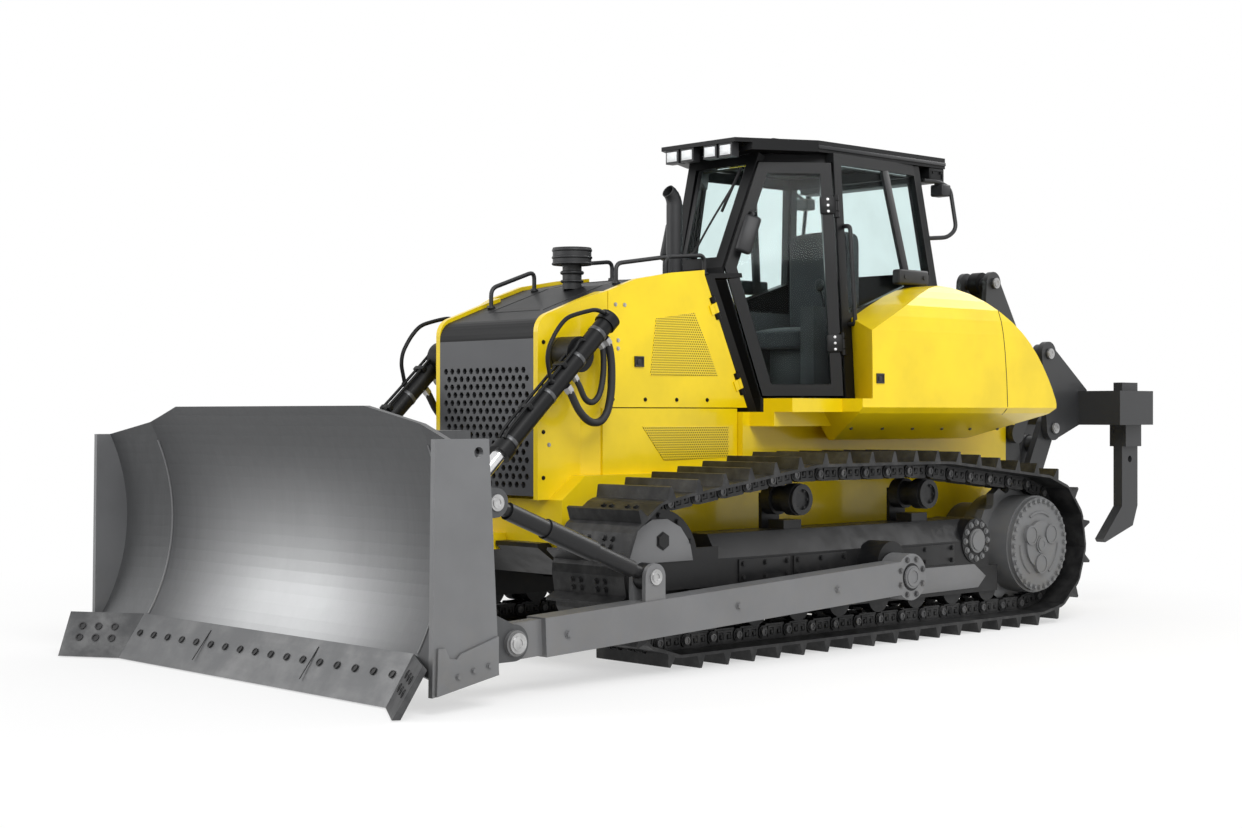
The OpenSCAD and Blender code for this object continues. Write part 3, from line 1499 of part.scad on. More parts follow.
// Lower arm: two plates joined by a cross tube, pinned outside the towers
module rip_plate(x, t, y0, z0, y1, z1, r) {
    d = unit([y1 - y0, z1 - z0]);
    n = right_of(d);
    w = r - run_gap / 2;
    drawn_x(x - t / 2, x + t / 2) polygon([
        [y0, z0] + w * n, [y1, z1] + w * n, [y1, z1] - w * n, [y0, z0] - w * n]);
    bar_x(x - t / 2, x + t / 2, y0, z0, r);
    bar_x(x - t / 2, x + t / 2, y1, z1, r);
}
rip_cross = between([low_piv_y, low_piv_z], [low_pin_y, low_pin_z], rip_share);
rip_tube = between([low_piv_y, low_piv_z], [low_pin_y, low_pin_z], rip_tube_share);
module ripper_arm() {
    color("#55585c") placed() {
        both() {
            rip_plate(link_plate_x, link_plate_t, low_piv_y, low_piv_z, low_pin_y, low_pin_z, rip_eye_r);
            bar_x(tower_xs[0] - tower_t, link_plate_x, low_piv_y, low_piv_z, rip_pin_r);
            bar_x(link_plate_x, lug_plate_x + lug_plate_t / 2 + cut, low_pin_y, low_pin_z, rip_pin_r);
        }
        bar_x(-link_plate_x, link_plate_x, rip_tube.x, rip_tube.y, rip_tube_r);
        both() for (s = [-1, 1])
            rip_plate(rip_cyl_x + s * (rip_eye_half + run_gap + rip_ear_t / 2), rip_ear_t, rip_cross.x, rip_cross.y,
                rip_tube.x, rip_tube.y, rip_ear_r);
    }
}
module ripper_links() {
    color("#55585c") placed() both() {
        rip_plate(link_plate_x, link_plate_t, up_piv_y, up_piv_z,
            up_pin_y, up_pin_z, rip_eye_r * link_eye_share);
        bar_x(tower_xs[0] - tower_t, link_plate_x, up_piv_y, up_piv_z, rip_pin_r);
        bar_x(link_plate_x, lug_plate_x + lug_plate_t / 2 + cut, up_pin_y, up_pin_z, rip_pin_r);
    }
}
beam_top_z = beam_low_z + beam_h;
module ripper_beam() {
    color("#4c4f53") placed() {
        difference() {
            box([-beam_half, beam_y, beam_low_z], [beam_half, rear_y, beam_top_z]);
            for (x = shank_xs) box([x - shank_t / 2 - seat, shank_front_y - seat, beam_low_z - cut],
                [x + shank_t / 2 + seat, shank_back_y + seat, beam_top_z + cut]);
        }
        both() difference() {
            union() {
                drawn_x(lug_plate_x - lug_plate_t / 2, lug_plate_x + lug_plate_t / 2) polygon([
                    [up_pin_y - rip_eye_r, up_pin_z], [low_pin_y - rip_eye_r, low_pin_z],
                    [low_pin_y, low_pin_z - rip_eye_r],
                    [beam_y + cut, beam_low_z], [beam_y + cut, beam_top_z - cut],
                    [beam_y + beam_depth * beam_web_share, beam_top_z - cut],
                    [beam_y + beam_depth * beam_web_share, beam_top_z + cut],
                    [up_pin_y, up_pin_z + rip_eye_r]]);
                bar_x(lug_plate_x - lug_plate_t / 2, lug_plate_x + lug_plate_t / 2,
                    up_pin_y, up_pin_z, rip_eye_r);
                bar_x(lug_plate_x - lug_plate_t / 2, lug_plate_x + lug_plate_t / 2,
                    low_pin_y, low_pin_z, rip_eye_r);
            }
            bar_x(0, beam_half, up_pin_y, up_pin_z, rip_pin_r + pin_gap);
            bar_x(0, beam_half, low_pin_y, low_pin_z, rip_pin_r + pin_gap);
        }
        for (x = shank_xs) for (s = [-1, 1]) translate([x + s * (shank_t / 2 + seat + pocket_t / 2), 0, 0])
            box([-pocket_t / 2, shank_front_y, pocket_low_z], [pocket_t / 2, shank_back_y, beam_low_z + cut]);
    }
}
shank_outline = [
    [shank_front_y, beam_top_z + shank_head], [shank_front_y, shank_knee_z],
    [shank_tip_y, shank_tip_z + shank_nose], [shank_tip_y + shank_nose, shank_tip_z],
    [shank_heel_y, shank_heel_z], [shank_back_y, shank_knee_z], [shank_back_y, beam_top_z + shank_head]
];
module ripper_shanks() {
    color("#4c4f53") placed() for (x = shank_xs) difference() {
        drawn_x(x - shank_t / 2, x + shank_t / 2) polygon(shank_outline);
        bar_x(x - shank_t, x + shank_t, (shank_front_y + shank_back_y) / 2, shank_hole_z, shank_hole_r);
    }
}

// Ripper cylinders hang from the apex pin, between the tower plates
rip_line = [0, rip_cross.x - apex_y, rip_cross.y - apex_z];
rip_len = norm(rip_line);
rip_tilt = atan2(rip_cross.y - apex_z, rip_cross.x - apex_y);
module along_rip() {
    translate([rip_cyl_x, apex_y, apex_z]) rotate([-(90 - rip_tilt), 0, 0]) children();
}
module ripper_barrels() {
    color("#202124") placed() both() difference() {
        union() {
            along_rip() cylinder(r = rip_barrel_r, h = rip_barrel_len);
            bar_x(rip_cyl_x - rip_eye_half, rip_cyl_x + rip_eye_half, apex_y, apex_z, apex_r);
        }
        bar_x(rip_cyl_x - rip_stub, rip_cyl_x + rip_stub, apex_y, apex_z, rip_pin_r + pin_gap);
        along_rip() translate([0, 0, apex_r + cut]) cylinder(r = rip_rod_r + pin_gap, h = rip_len);
    }
}
rip_inside = 640;
module ripper_rods() {
    color("#b9bcbe") placed() both() difference() {
        union() {
            along_rip() translate([0, 0, rip_barrel_len - rip_inside])
                cylinder(r = rip_rod_r, h = rip_len - rip_barrel_len + rip_inside);
            bar_x(rip_cyl_x - rip_eye_half, rip_cyl_x + rip_eye_half,
                rip_cross.x, rip_cross.y, rip_eye_r * rod_eye_share);
        }
        bar_x(rip_cyl_x - rip_stub, rip_cyl_x + rip_stub, rip_cross.x, rip_cross.y, rip_pin_r);
    }
}

main_frame();
belly_guard();
engine_block();
grille();
hood_top();
side_panel_left();
side_panel_right();
pre_cleaner();
exhaust_stack();
grab_rails();
fender_left();
fender_right();
cab_floor();
cab_front();
cab_side_left();
cab_side_right();
cab_rear();
cab_roof();
cab_glass();
seat_base();
consoles();
work_lamps();
track_frame_left();
track_frame_right();
track_left();
track_right();
sprockets();
idlers();
track_rollers();
carrier_rollers();
pivot_shafts();
equalizer_bar();
lift_pivots();
ripper_towers();
cab_door_left();
cab_door_right();
door_glass_left();
door_glass_right();
engine_door_left();
engine_door_right();
mouldboard();
cutting_edge();
end_bits();
end_plate_left();
end_plate_right();
push_arm_left();
push_arm_right();
brace();
tilt_cylinder();
lift_barrels();
lift_rods();
ripper_arm();
ripper_links();
ripper_beam();
ripper_shanks();
ripper_barrels();
ripper_rods();
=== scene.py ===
import bpy
import cmath
import math
from mathutils import Matrix, Vector


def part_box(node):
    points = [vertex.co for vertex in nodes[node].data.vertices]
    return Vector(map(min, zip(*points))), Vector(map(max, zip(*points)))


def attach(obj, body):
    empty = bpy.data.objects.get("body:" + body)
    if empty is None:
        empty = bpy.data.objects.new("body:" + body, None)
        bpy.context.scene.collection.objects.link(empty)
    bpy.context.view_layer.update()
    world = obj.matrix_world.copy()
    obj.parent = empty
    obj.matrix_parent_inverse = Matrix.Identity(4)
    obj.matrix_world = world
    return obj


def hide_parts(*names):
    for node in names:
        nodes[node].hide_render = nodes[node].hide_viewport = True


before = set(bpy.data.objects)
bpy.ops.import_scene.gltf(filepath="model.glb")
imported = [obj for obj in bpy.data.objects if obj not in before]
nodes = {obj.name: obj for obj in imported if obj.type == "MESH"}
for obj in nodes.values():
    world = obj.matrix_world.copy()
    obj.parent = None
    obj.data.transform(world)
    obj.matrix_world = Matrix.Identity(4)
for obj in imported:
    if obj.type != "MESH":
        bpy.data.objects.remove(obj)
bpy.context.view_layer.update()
driveLow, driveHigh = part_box("sprockets")
axleY = (driveLow.y + driveHigh.y) / 2  # the drawing starts at the sprocket axle
sides = ((1, "Left"), (-1, "Right"))
print("frame loaded", len(nodes), "nodes")


def spot(x, y, z):  # millimetres from the sprocket axle to the scene
    return Vector((x / 1000, y / 1000 + axleY, z / 1000))


# camera at the photograph's place: level, a little above the track
cameraView = {"lens": 56.23, "sensor": 36, "heading": 47, "place": (8461, -10492, 1348), "far": 200}
bpy.ops.object.camera_add(location=spot(*cameraView["place"]),
                          rotation=(math.pi / 2, 0, math.radians(cameraView["heading"])))
camera = bpy.context.object
camera.data.lens = cameraView["lens"]
camera.data.sensor_width = cameraView["sensor"]
camera.data.clip_end = cameraView["far"]
bpy.context.scene.camera = camera
bpy.context.scene.view_settings.view_transform = "Standard"


# shader maths as plain expressions
class Wire:
    def __init__(self, tree, socket=None):
        self.tree = tree
        self.socket = socket

    def node(self, kind, settings=None, sockets=None, out=0):
        made = self.tree.nodes.new("ShaderNode" + kind)
        for name, value in (settings or {}).items():
            setattr(made, name, value)
        for name, value in (sockets or {}).items():
            if isinstance(value, Wire):
                self.tree.links.new(value.socket, made.inputs[name])
            else:
                made.inputs[name].default_value = value
        return Wire(self.tree, made.outputs[out])

    def maths(self, operation, first, second=0.0):
        return self.node("Math", {"operation": operation}, {0: first, 1: second})

    def __add__(self, other):
        return self.maths("ADD", self, other)

    __radd__ = __add__

    def __sub__(self, other):
        return self.maths("SUBTRACT", self, other)

    def __rsub__(self, other):
        return self.maths("SUBTRACT", other, self)

    def __mul__(self, other):
        return self.maths("MULTIPLY", self, other)

    __rmul__ = __mul__


def newPaint(name, constants):
    paint = bpy.data.materials.new(name)
    paint.use_nodes = True
    shader = paint.node_tree.nodes["Principled BSDF"]
    for key, value in constants.items():
        shader.inputs[key].default_value = value
    return paint, shader, Wire(paint.node_tree)


def link(shader, name, wire):
    wire.tree.links.new(wire.socket, shader.inputs[name])


def objectPlace(wire):
    return wire.node("TexCoord", out=3)


def axisOf(wire, place, axis):
    return wire.node("SeparateXYZ", None, {"Vector": place}, out=axis)


def noiseOver(wire, place, scale, detail=4, rough=0.55):
    return wire.node("TexNoise", None, {"Vector": place, "Scale": scale, "Detail": detail, "Roughness": rough})


def bandsOver(wire, place, direction, scale):
    return wire.node("TexWave", {"wave_type": "BANDS", "bands_direction": direction}, {"Vector": place, "Scale": scale})


def softStep(wire, value, low, high, dark=0.0, light=1.0):
    return wire.node("MapRange", {"interpolation_type": "SMOOTHSTEP"},
                     {"Value": value, "From Min": low, "From Max": high, "To Min": dark, "To Max": light})


def blendTint(wire, share, first, second):
    first, second = (tint if isinstance(tint, Wire) else (*tint, 1) for tint in (first, second))
    return wire.node("Mix", {"data_type": "RGBA", "clamp_factor": True}, {0: share, 6: first, 7: second}, out=2)


def times(tint, by):
    return tuple(by * part for part in tint)


def bumped(shader, wire, height, strength, distance):
    link(shader, "Normal", wire.node("Bump", None, {"Height": height, "Strength": strength, "Distance": distance}))


# enamel with orange peel, faint dust towards the ground and dulled patches
def enamel(name, tint, dust, gloss, dustTop, dustShare, metal=0.0, coat=0.5, shine=0.5):
    paint, shader, wire = newPaint(name, {"Metallic": metal, "Coat Roughness": 0.08, "Specular IOR Level": shine})
    place = objectPlace(wire)
    patches = noiseOver(wire, place, 2.2, 5)
    grime = noiseOver(wire, place, 9.0, 6, 0.65)
    low = softStep(wire, axisOf(wire, place, 2), dustTop, 0.0) * softStep(wire, grime, 0.35, 0.75) * dustShare
    body = blendTint(wire, softStep(wire, patches, 0.3, 0.7), times(tint, 0.86), tint)
    link(shader, "Base Color", blendTint(wire, low, body, dust))
    link(shader, "Roughness", gloss + 0.1 * patches + 0.35 * low)
    link(shader, "Coat Weight", coat - 0.5 * low)
    bumped(shader, wire, noiseOver(wire, place, 260, 2) + 0.5 * noiseOver(wire, place, 40, 3), 0.05, 0.002)
    return paint


# plate with rolling marks, scratches and rubbed lighter patches
def rubbedSteel(name, dark, light, gloss, metal, streak, wearScale, rubbed=0.6):
    paint, shader, wire = newPaint(name, {"Specular IOR Level": 0.5})
    place = objectPlace(wire)
    streaks = noiseOver(wire, wire.node("Mapping", None, {"Vector": place, "Scale": streak}), 14, 6, 0.7)
    wear = noiseOver(wire, place, wearScale, 6, 0.62)
    share = softStep(wire, wear + 0.35 * streaks, 0.52, 0.95) * rubbed
    link(shader, "Base Color", blendTint(wire, share, dark, light))
    link(shader, "Roughness", gloss + 0.16 * streaks - 0.12 * share)
    link(shader, "Metallic", metal + 0.3 * share)
    bumped(shader, wire, streaks + 0.6 * noiseOver(wire, place, 90, 4), 0.12, 0.002)
    return paint


def mouldedBlack(name, tint, gloss, grain, depth=0.0006):
    paint, shader, wire = newPaint(name, {"Specular IOR Level": 0.45})
    place = objectPlace(wire)
    cloud = noiseOver(wire, place, 4, 4)
    link(shader, "Base Color", blendTint(wire, softStep(wire, cloud, 0.35, 0.75), tint, times(tint, 1.5)))
    link(shader, "Roughness", gloss + 0.12 * cloud)
    bumped(shader, wire, noiseOver(wire, place, grain, 3), 0.25, depth)
    return paint


def tintedGlass(name, tint):
    paint, shader, wire = newPaint(name, {"Transmission Weight": 1.0, "IOR": 1.12, "Specular IOR Level": 0.5})
    film = noiseOver(wire, objectPlace(wire), 3, 4)
    link(shader, "Base Color", blendTint(wire, softStep(wire, film, 0.3, 0.8), tint, times(tint, 0.93)))
    link(shader, "Roughness", 0.01 + 0.03 * film)
    return paint


# punched sheet: round holes in offset rows, painted in with the shade behind them
def punchedSheet(name, tint, behind, step, axes):
    paint, shader, wire = newPaint(name, {"Coat Roughness": 0.1})
    place = objectPlace(wire)
    rowStep = 0.866  # height of a row for holes in triangles
    across = axisOf(wire, place, axes[0]) * (1 / step)
    upward = axisOf(wire, place, axes[1]) * (1 / (rowStep * step))
    odd = wire.maths("MODULO", wire.maths("ABSOLUTE", wire.maths("FLOOR", upward)), 2.0)
    sideways = wire.maths("FRACT", across + 0.5 * odd) - 0.5
    along = (wire.maths("FRACT", upward) - 0.5) * rowStep
    hole = softStep(wire, wire.maths("SQRT", sideways * sideways + along * along), 0.34, 0.27)
    # the holes' colour is painted shade: a dim yellow for the shaded space seen through the sheet
    link(shader, "Base Color", blendTint(wire, hole, tint, behind))
    link(shader, "Roughness", 0.32 + 0.4 * hole)
    link(shader, "Coat Weight", 0.4 - 0.4 * hole)
    bumped(shader, wire, 1 - hole, 0.6, 0.003)
    return paint


def lampFront(name):
    paint, shader, wire = newPaint(name, {"Coat Weight": 1.0, "Coat Roughness": 0.03})
    fluted = bandsOver(wire, objectPlace(wire), "X", 30)
    link(shader, "Base Color", blendTint(wire, fluted, (0.72, 0.75, 0.76), (0.93, 0.95, 0.96)))
    link(shader, "Roughness", 0.12 + 0.15 * fluted)
    bumped(shader, wire, fluted, 0.4, 0.003)
    return paint


def wovenCloth(name, tint):
    paint, shader, wire = newPaint(name, {"Sheen Weight": 0.25, "Sheen Roughness": 0.5})
    place = objectPlace(wire)
    weave = bandsOver(wire, place, "X", 160) * bandsOver(wire, place, "DIAGONAL", 160)
    cloud = noiseOver(wire, place, 6, 5)
    link(shader, "Base Color", blendTint(wire, softStep(wire, cloud, 0.3, 0.8), tint, times(tint, 1.8)))
    link(shader, "Roughness", 0.82 + 0.1 * weave)
    bumped(shader, wire, weave, 0.4, 0.001)
    return paint


# the mouldboard: lighter low in the middle, partly rubbed bright by what it pushes and partly a painted highlight,
# darker to its edges
def wornHighlightFace(name, dark, light):
    paint, shader, wire = newPaint(name, {"Specular IOR Level": 0.5, "Coat Roughness": 0.3})
    place = objectPlace(wire)
    across = wire.maths("ABSOLUTE", axisOf(wire, place, 0))
    streaks = noiseOver(wire, wire.node("Mapping", None, {"Vector": place, "Scale": (1.0, 1.0, 0.08)}), 30, 6, 0.7)
    # the middle mask is wear and painted highlight together: the base colour runs from dark edges to a bright lower
    # middle
    middle = softStep(wire, across, 1.35, 0.1) * softStep(wire, axisOf(wire, place, 2), 1.25, 0.38)
    share = middle * (0.65 + 0.4 * noiseOver(wire, place, 1.6, 5)) + 0.1 * streaks
    link(shader, "Base Color", blendTint(wire, share, dark, light))
    link(shader, "Roughness", 0.42 - 0.12 * middle + 0.08 * streaks)
    link(shader, "Metallic", 0.3 + 0.5 * middle)
    bumped(shader, wire, streaks, 0.06, 0.001)
    return paint


yellowEnamel = enamel("yellowEnamel", (0.95, 0.69, 0.002), (0.36, 0.30, 0.22), 0.26, 1.3, 0.14, coat=0.3, shine=0.4)
blackEnamel = enamel("blackEnamel", (0.006, 0.0063, 0.007), (0.06, 0.055, 0.05), 0.42, 1.2, 0.5, coat=0.03, shine=0.2)
grilleEnamel = enamel("grilleEnamel", (0.075, 0.077, 0.082), (0.12, 0.11, 0.10), 0.34, 1.2, 0.3, metal=0.35, coat=0.2)
plateEnamel = enamel("plateEnamel", (0.16, 0.163, 0.168), (0.2, 0.185, 0.16), 0.36, 0.8, 0.3, metal=0.25, coat=0.2)
frameEnamel = enamel("frameEnamel", (0.010, 0.0103, 0.0112), (0.032, 0.029, 0.027), 0.34, 1.1, 0.5,
                     coat=0.06, shine=0.28)
armEnamel = enamel("armEnamel", (0.165, 0.167, 0.172), (0.2, 0.185, 0.16), 0.40, 0.8, 0.3, metal=0.1, coat=0.2)
ripperEnamel = enamel("ripperEnamel", (0.030, 0.031, 0.033), (0.08, 0.073, 0.064), 0.40, 0.8, 0.35,
                      coat=0.12, shine=0.4)
driveEnamel = enamel("driveEnamel", (0.165, 0.168, 0.172), (0.2, 0.185, 0.16), 0.40, 1.0, 0.5, metal=0.2, coat=0.15)
# the board's light colour is a painted highlight as well as rubbed steel
boardSteel = wornHighlightFace("boardSteel", (0.052, 0.0535, 0.056), (0.42, 0.425, 0.43))
edgeSteel = rubbedSteel("edgeSteel", (0.10, 0.102, 0.105), (0.22, 0.22, 0.22), 0.34, 0.5, (0.15, 1, 1), 3.5)
bitSteel = rubbedSteel("bitSteel", (0.040, 0.041, 0.043), (0.16, 0.16, 0.16), 0.42, 0.4, (0.2, 1, 1), 5.0)
chainSteel = rubbedSteel("chainSteel", (0.013, 0.0133, 0.0142), (0.12, 0.118, 0.116), 0.38, 0.35, (1, 1, 1), 9.0, 0.38)
castIron = rubbedSteel("castIron", (0.013, 0.0133, 0.0142), (0.07, 0.07, 0.07), 0.44, 0.3, (1, 1, 1), 7.0, 0.4)
pinIron = rubbedSteel("pinIron", (0.09, 0.09, 0.093), (0.30, 0.295, 0.29), 0.34, 0.5, (1, 1, 1), 12.0)
pinSteel = rubbedSteel("pinSteel", (0.36, 0.36, 0.36), (0.75, 0.75, 0.75), 0.26, 0.7, (1, 1, 1), 12.0)
rodChrome = rubbedSteel("rodChrome", (0.62, 0.62, 0.63), (0.85, 0.85, 0.86), 0.10, 0.85, (6, 6, 0.3), 4.0)
blackRubber = mouldedBlack("blackRubber", (0.012, 0.012, 0.013), 0.55, 220)
blackPlastic = mouldedBlack("blackPlastic", (0.014, 0.0145, 0.016), 0.42, 420, 0.0003)
greyPlastic = mouldedBlack("greyPlastic", (0.05, 0.05, 0.052), 0.5, 420, 0.0003)
cabGlass = tintedGlass("cabGlass", (0.84, 0.93, 0.925))
# the second colour of the door screen is painted shade in its holes
doorScreen = punchedSheet("doorScreen", (0.84, 0.62, 0.004), (0.22, 0.15, 0.004), 0.016, (1, 2))
lampLens = lampFront("lampLens")
seatCloth = wovenCloth("seatCloth", (0.018, 0.019, 0.022))
print("materials made")

finishes = {
    yellowEnamel: ["main_frame", "side_panel_left", "side_panel_right", "fender_left", "fender_right",
                   "engine_door_left", "engine_door_right"],
    blackEnamel: ["hood_top", "cab_front", "cab_side_left", "cab_side_right", "cab_rear", "cab_roof",
                  "cab_door_left", "cab_door_right", "cab_floor", "lift_barrels", "ripper_barrels"],
    grilleEnamel: ["grille"],
    plateEnamel: ["end_plate_left", "end_plate_right"],
    frameEnamel: ["brace", "tilt_cylinder", "belly_guard", "track_frame_left", "track_frame_right",
                  "equalizer_bar", "lift_pivots"],
    armEnamel: ["push_arm_left", "push_arm_right"],
    ripperEnamel: ["ripper_towers", "ripper_arm", "ripper_links", "ripper_beam", "ripper_shanks"],
    driveEnamel: ["sprockets"],
    boardSteel: ["mouldboard"],
    edgeSteel: ["cutting_edge"],
    bitSteel: ["end_bits"],
    chainSteel: ["track_left", "track_right"],
    castIron: ["idlers", "track_rollers", "carrier_rollers", "pivot_shafts", "engine_block"],
    rodChrome: ["lift_rods", "ripper_rods"],
    blackPlastic: ["pre_cleaner", "exhaust_stack", "work_lamps", "seat_base", "grab_rails"],
    greyPlastic: ["consoles"],
    cabGlass: ["cab_glass", "door_glass_left", "door_glass_right"],
}
for coat, members in finishes.items():
    for member in members:
        nodes[member].data.materials.clear()
        nodes[member].data.materials.append(coat)


# small helpers for modelling with the operators
def deselect():
    if bpy.context.object and bpy.context.object.mode != "OBJECT":
        bpy.ops.object.mode_set(mode="OBJECT")
    bpy.ops.object.select_all(action="DESELECT")


def pick(piece):
    deselect()
    piece.select_set(True)
    bpy.context.view_layer.objects.active = piece


def turnTo(direction):
    return Vector(direction).normalized().to_track_quat("Z", "Y").to_euler()


def added(name):  # the primitive just made: named, and its place put into its mesh
    piece = bpy.context.object
    piece.name = name
    pick(piece)
    bpy.ops.object.transform_apply(location=True, rotation=True, scale=True)
    return piece


def editFaces(piece, wanted):
    pick(piece)
    mesh = piece.data
    for part in (mesh.vertices, mesh.edges, mesh.polygons):
        part.foreach_set("select", [False] * len(part))
    for face in mesh.polygons:
        face.select = bool(wanted(face.center, face.normal))
    bpy.ops.object.mode_set(mode="EDIT")
    bpy.ops.mesh.select_mode(type="FACE")


def endEdit():
    bpy.ops.object.mode_set(mode="OBJECT")


def useModifier(piece, kind, **settings):
    pick(piece)
    made = piece.modifiers.new(kind.lower(), kind)
    for name, value in settings.items():
        setattr(made, name, value)
    bpy.ops.object.modifier_apply(modifier=made.name)


def roundBar(name, middle, direction, radius, length, around, *steps, ends="NGON"):  # with steps on its end
    deselect()
    bpy.ops.mesh.primitive_cylinder_add(vertices=around, radius=radius, depth=length, end_fill_type=ends,
                                        location=middle, rotation=turnTo(direction))
    return stepEnd(added(name), direction, *steps)


def block(name, first, second, edge=0.0, rounds=2):
    low, high = (Vector([end(pair) for pair in zip(first, second)]) for end in (min, max))
    deselect()
    bpy.ops.mesh.primitive_cube_add(size=1, location=(low + high) / 2, scale=high - low)
    piece = added(name)
    if edge:
        useModifier(piece, "BEVEL", width=edge, segments=rounds)
    return piece


def beam(name, start, end, wide, deep, facing, edge=0.004):
    along = Vector(end) - Vector(start)
    z = along.normalized()
    y = (Vector(facing) - z * Vector(facing).dot(z)).normalized()
    turn = Matrix((y.cross(z), y, z)).transposed().to_4x4()
    deselect()
    bpy.ops.mesh.primitive_cube_add(size=1)
    bpy.context.object.matrix_world = (Matrix.Translation((Vector(start) + Vector(end)) / 2) @ turn
                                       @ Matrix.Diagonal((wide, deep, along.length, 1)))
    piece = added(name)
    useModifier(piece, "BEVEL", width=edge, segments=2)
    return piece


# raised or sunk steps on the end face of a bar: inset, then drawn along its normal
def stepEnd(piece, direction, *steps):
    way = Vector(direction).normalized()
    for inward, along in steps:
        ends = [face.center.dot(way) for face in piece.data.polygons if face.normal.dot(way) > 0.9]
        editFaces(piece, lambda centre, normal: normal.dot(way) > 0.9 and centre.dot(way) > max(ends) - 1e-4)
        bpy.ops.mesh.inset(thickness=inward)
        bpy.ops.mesh.extrude_region_move(TRANSFORM_OT_translate={"value": way * along})
        endEdit()
    return piece


def tube(name, points, radius, smooth=True, around=10):
    deselect()
    bpy.ops.curve.primitive_bezier_curve_add(location=(0, 0, 0))
    bpy.context.object.name = name
    curve = bpy.context.object.data
    curve.splines.clear()
    line = curve.splines.new("BEZIER")
    line.bezier_points.add(len(points) - 1)
    for knot, place in zip(line.bezier_points, points):
        knot.co = place
        knot.handle_left_type = knot.handle_right_type = "AUTO" if smooth else "VECTOR"
    curve.dimensions = "3D"
    curve.bevel_depth = radius
    curve.bevel_resolution = max(1, around // 4)
    curve.resolution_u = 8
    curve.use_fill_caps = True
    bpy.ops.object.convert(target="MESH")
    return bpy.context.object


def bentTube(name, points, radius, bend, steps=5):  # straight runs with rounded corners
    line = [Vector(points[0])]
    for before, corner, after in zip(points, points[1:], points[2:]):
        back, ahead = before - corner, after - corner
        reach = min(bend, 0.45 * back.length, 0.45 * ahead.length)
        start, end = corner + back.normalized() * reach, corner + ahead.normalized() * reach
        for step in range(steps + 1):
            share = step / steps
            line.append(start * (1 - share) ** 2 + corner * 2 * share * (1 - share) + end * share ** 2)
    return tube(name, line + [Vector(points[-1])], radius, smooth=False, around=12)


def joined(name, pieces):
    deselect()
    for piece in pieces:
        piece.select_set(True)
    bpy.context.view_layer.objects.active = pieces[0]
    if len(pieces) > 1:
        bpy.ops.object.join()
    piece = bpy.context.object
    piece.name = name
    bpy.ops.object.transform_apply(location=True, rotation=True, scale=True)
    return piece


def copied(name, model, turns):  # copies of one model, each with its own mesh
    made = []
    for turn in turns:
        other = model.copy()
        other.data = model.data.copy()
        other.matrix_world = turn
        bpy.context.collection.objects.link(other)
        made.append(other)
    bpy.data.objects.remove(model)
    return joined(name, made)


def copiesAt(name, model, places):  # each place with the direction it faces
    return copied(name, model, [Matrix.Translation(place) @ turnTo(direction).to_matrix().to_4x4()
                                for place, direction in places])


def finish(piece, paint, body="tractor", angle=35):
    pick(piece)
    bpy.ops.object.mode_set(mode="EDIT")
    bpy.ops.mesh.select_all(action="SELECT")
    bpy.ops.mesh.normals_make_consistent(inside=False)
    endEdit()
    bpy.ops.object.shade_smooth_by_angle(angle=math.radians(angle))
    piece.data.materials.clear()
    piece.data.materials.append(paint)
    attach(piece, body)
    return piece


def onBothSides(maker, name, paint, body="tractor", angle=35, sizes=()):
    for side, label in sides:
        finish(maker(name + label, side, *sizes), paint, body, angle)


def hexBolt(size):  # a chamfered head on a washer, standing on z = 0
    parts = []
    for around, radius, tall, z in ((14, 1.5, 0.3, 0.15), (6, 1.15, 0.8, 0.6)):
        deselect()
        bpy.ops.mesh.primitive_cylinder_add(vertices=around, radius=radius * size, depth=tall * size,
                                            location=(0, 0, z * size))
        parts.append(added("boltPart"))
    stepEnd(parts[1], (0, 0, 1), (0.22 * size, 0.12 * size))
    return joined("hexBolt", parts)


def boltsAt(name, size, places):
    return copiesAt(name, hexBolt(size), places)


def sideLine(side, x, rows):  # rows of y and z, all at one x
    return [spot(side * x, y, z) for y, z in rows]


def sidePlaces(side, x, rows):
    return [(place, (side, 0, 0)) for place in sideLine(side, x, rows)]


def ringPlaces(side, x, y, z, reach, angles):  # round an axle across the machine, facing out
    return sidePlaces(side, x, [(y + reach * math.cos(angle), z + reach * math.sin(angle))
                                for angle in map(math.radians, angles)])


def evenly(count, first=0.0):
    return [first + 360 * index / count for index in range(count)]


def mirroredPlaces(places):
    flip = Matrix.Diagonal((-1, 1, 1))
    return places + [(flip @ place, flip @ Vector(direction)) for place, direction in places]


def meets(node, start, way):
    return nodes[node].ray_cast(Vector(start), Vector(way))[0]


def onFace(node, start, way):  # where a straight line meets a node, and the face's direction there
    way = Vector(way).normalized()
    met, place, normal, index = nodes[node].ray_cast(Vector(start), way)
    if not met:
        raise ValueError("nothing met on " + node)
    return place, normal if normal.dot(way) < 0 else -normal


def seamLine(name, node, starts, way, radius, steps=16):  # a thin seam laid over a node's face
    points = []
    for first, second in zip(starts, starts[1:]):
        for step in range(steps):
            place, normal = onFace(node, first + (second - first) * step / steps, way)
            points.append(place + normal * 0.0005)
    return tube(name, points, radius, smooth=False, around=8)


def outlinePlate(name, corners, thick, edge, rounds=2):
    deselect()
    bpy.ops.mesh.primitive_circle_add(vertices=len(corners), radius=1, fill_type="NGON", location=(0, 0, 0))
    plate = bpy.context.object
    plate.name = name
    for vertex, corner in zip(plate.data.vertices, corners):
        vertex.co = corner
    useModifier(plate, "SOLIDIFY", thickness=thick, offset=0)
    useModifier(plate, "BEVEL", width=edge, segments=rounds)
    return plate


def facePlate(name, node, starts, way, thick):  # a plate laid on the face that a node shows at the plate's middle
    way = Vector(way)
    face, normal = onFace(node, sum(starts, Vector()) / len(starts), way)
    corners = [start + way * (face - start).dot(normal) / way.dot(normal) + normal * thick / 2 for start in starts]
    return outlinePlate(name, corners, thick, min(0.0025, thick * 0.3))


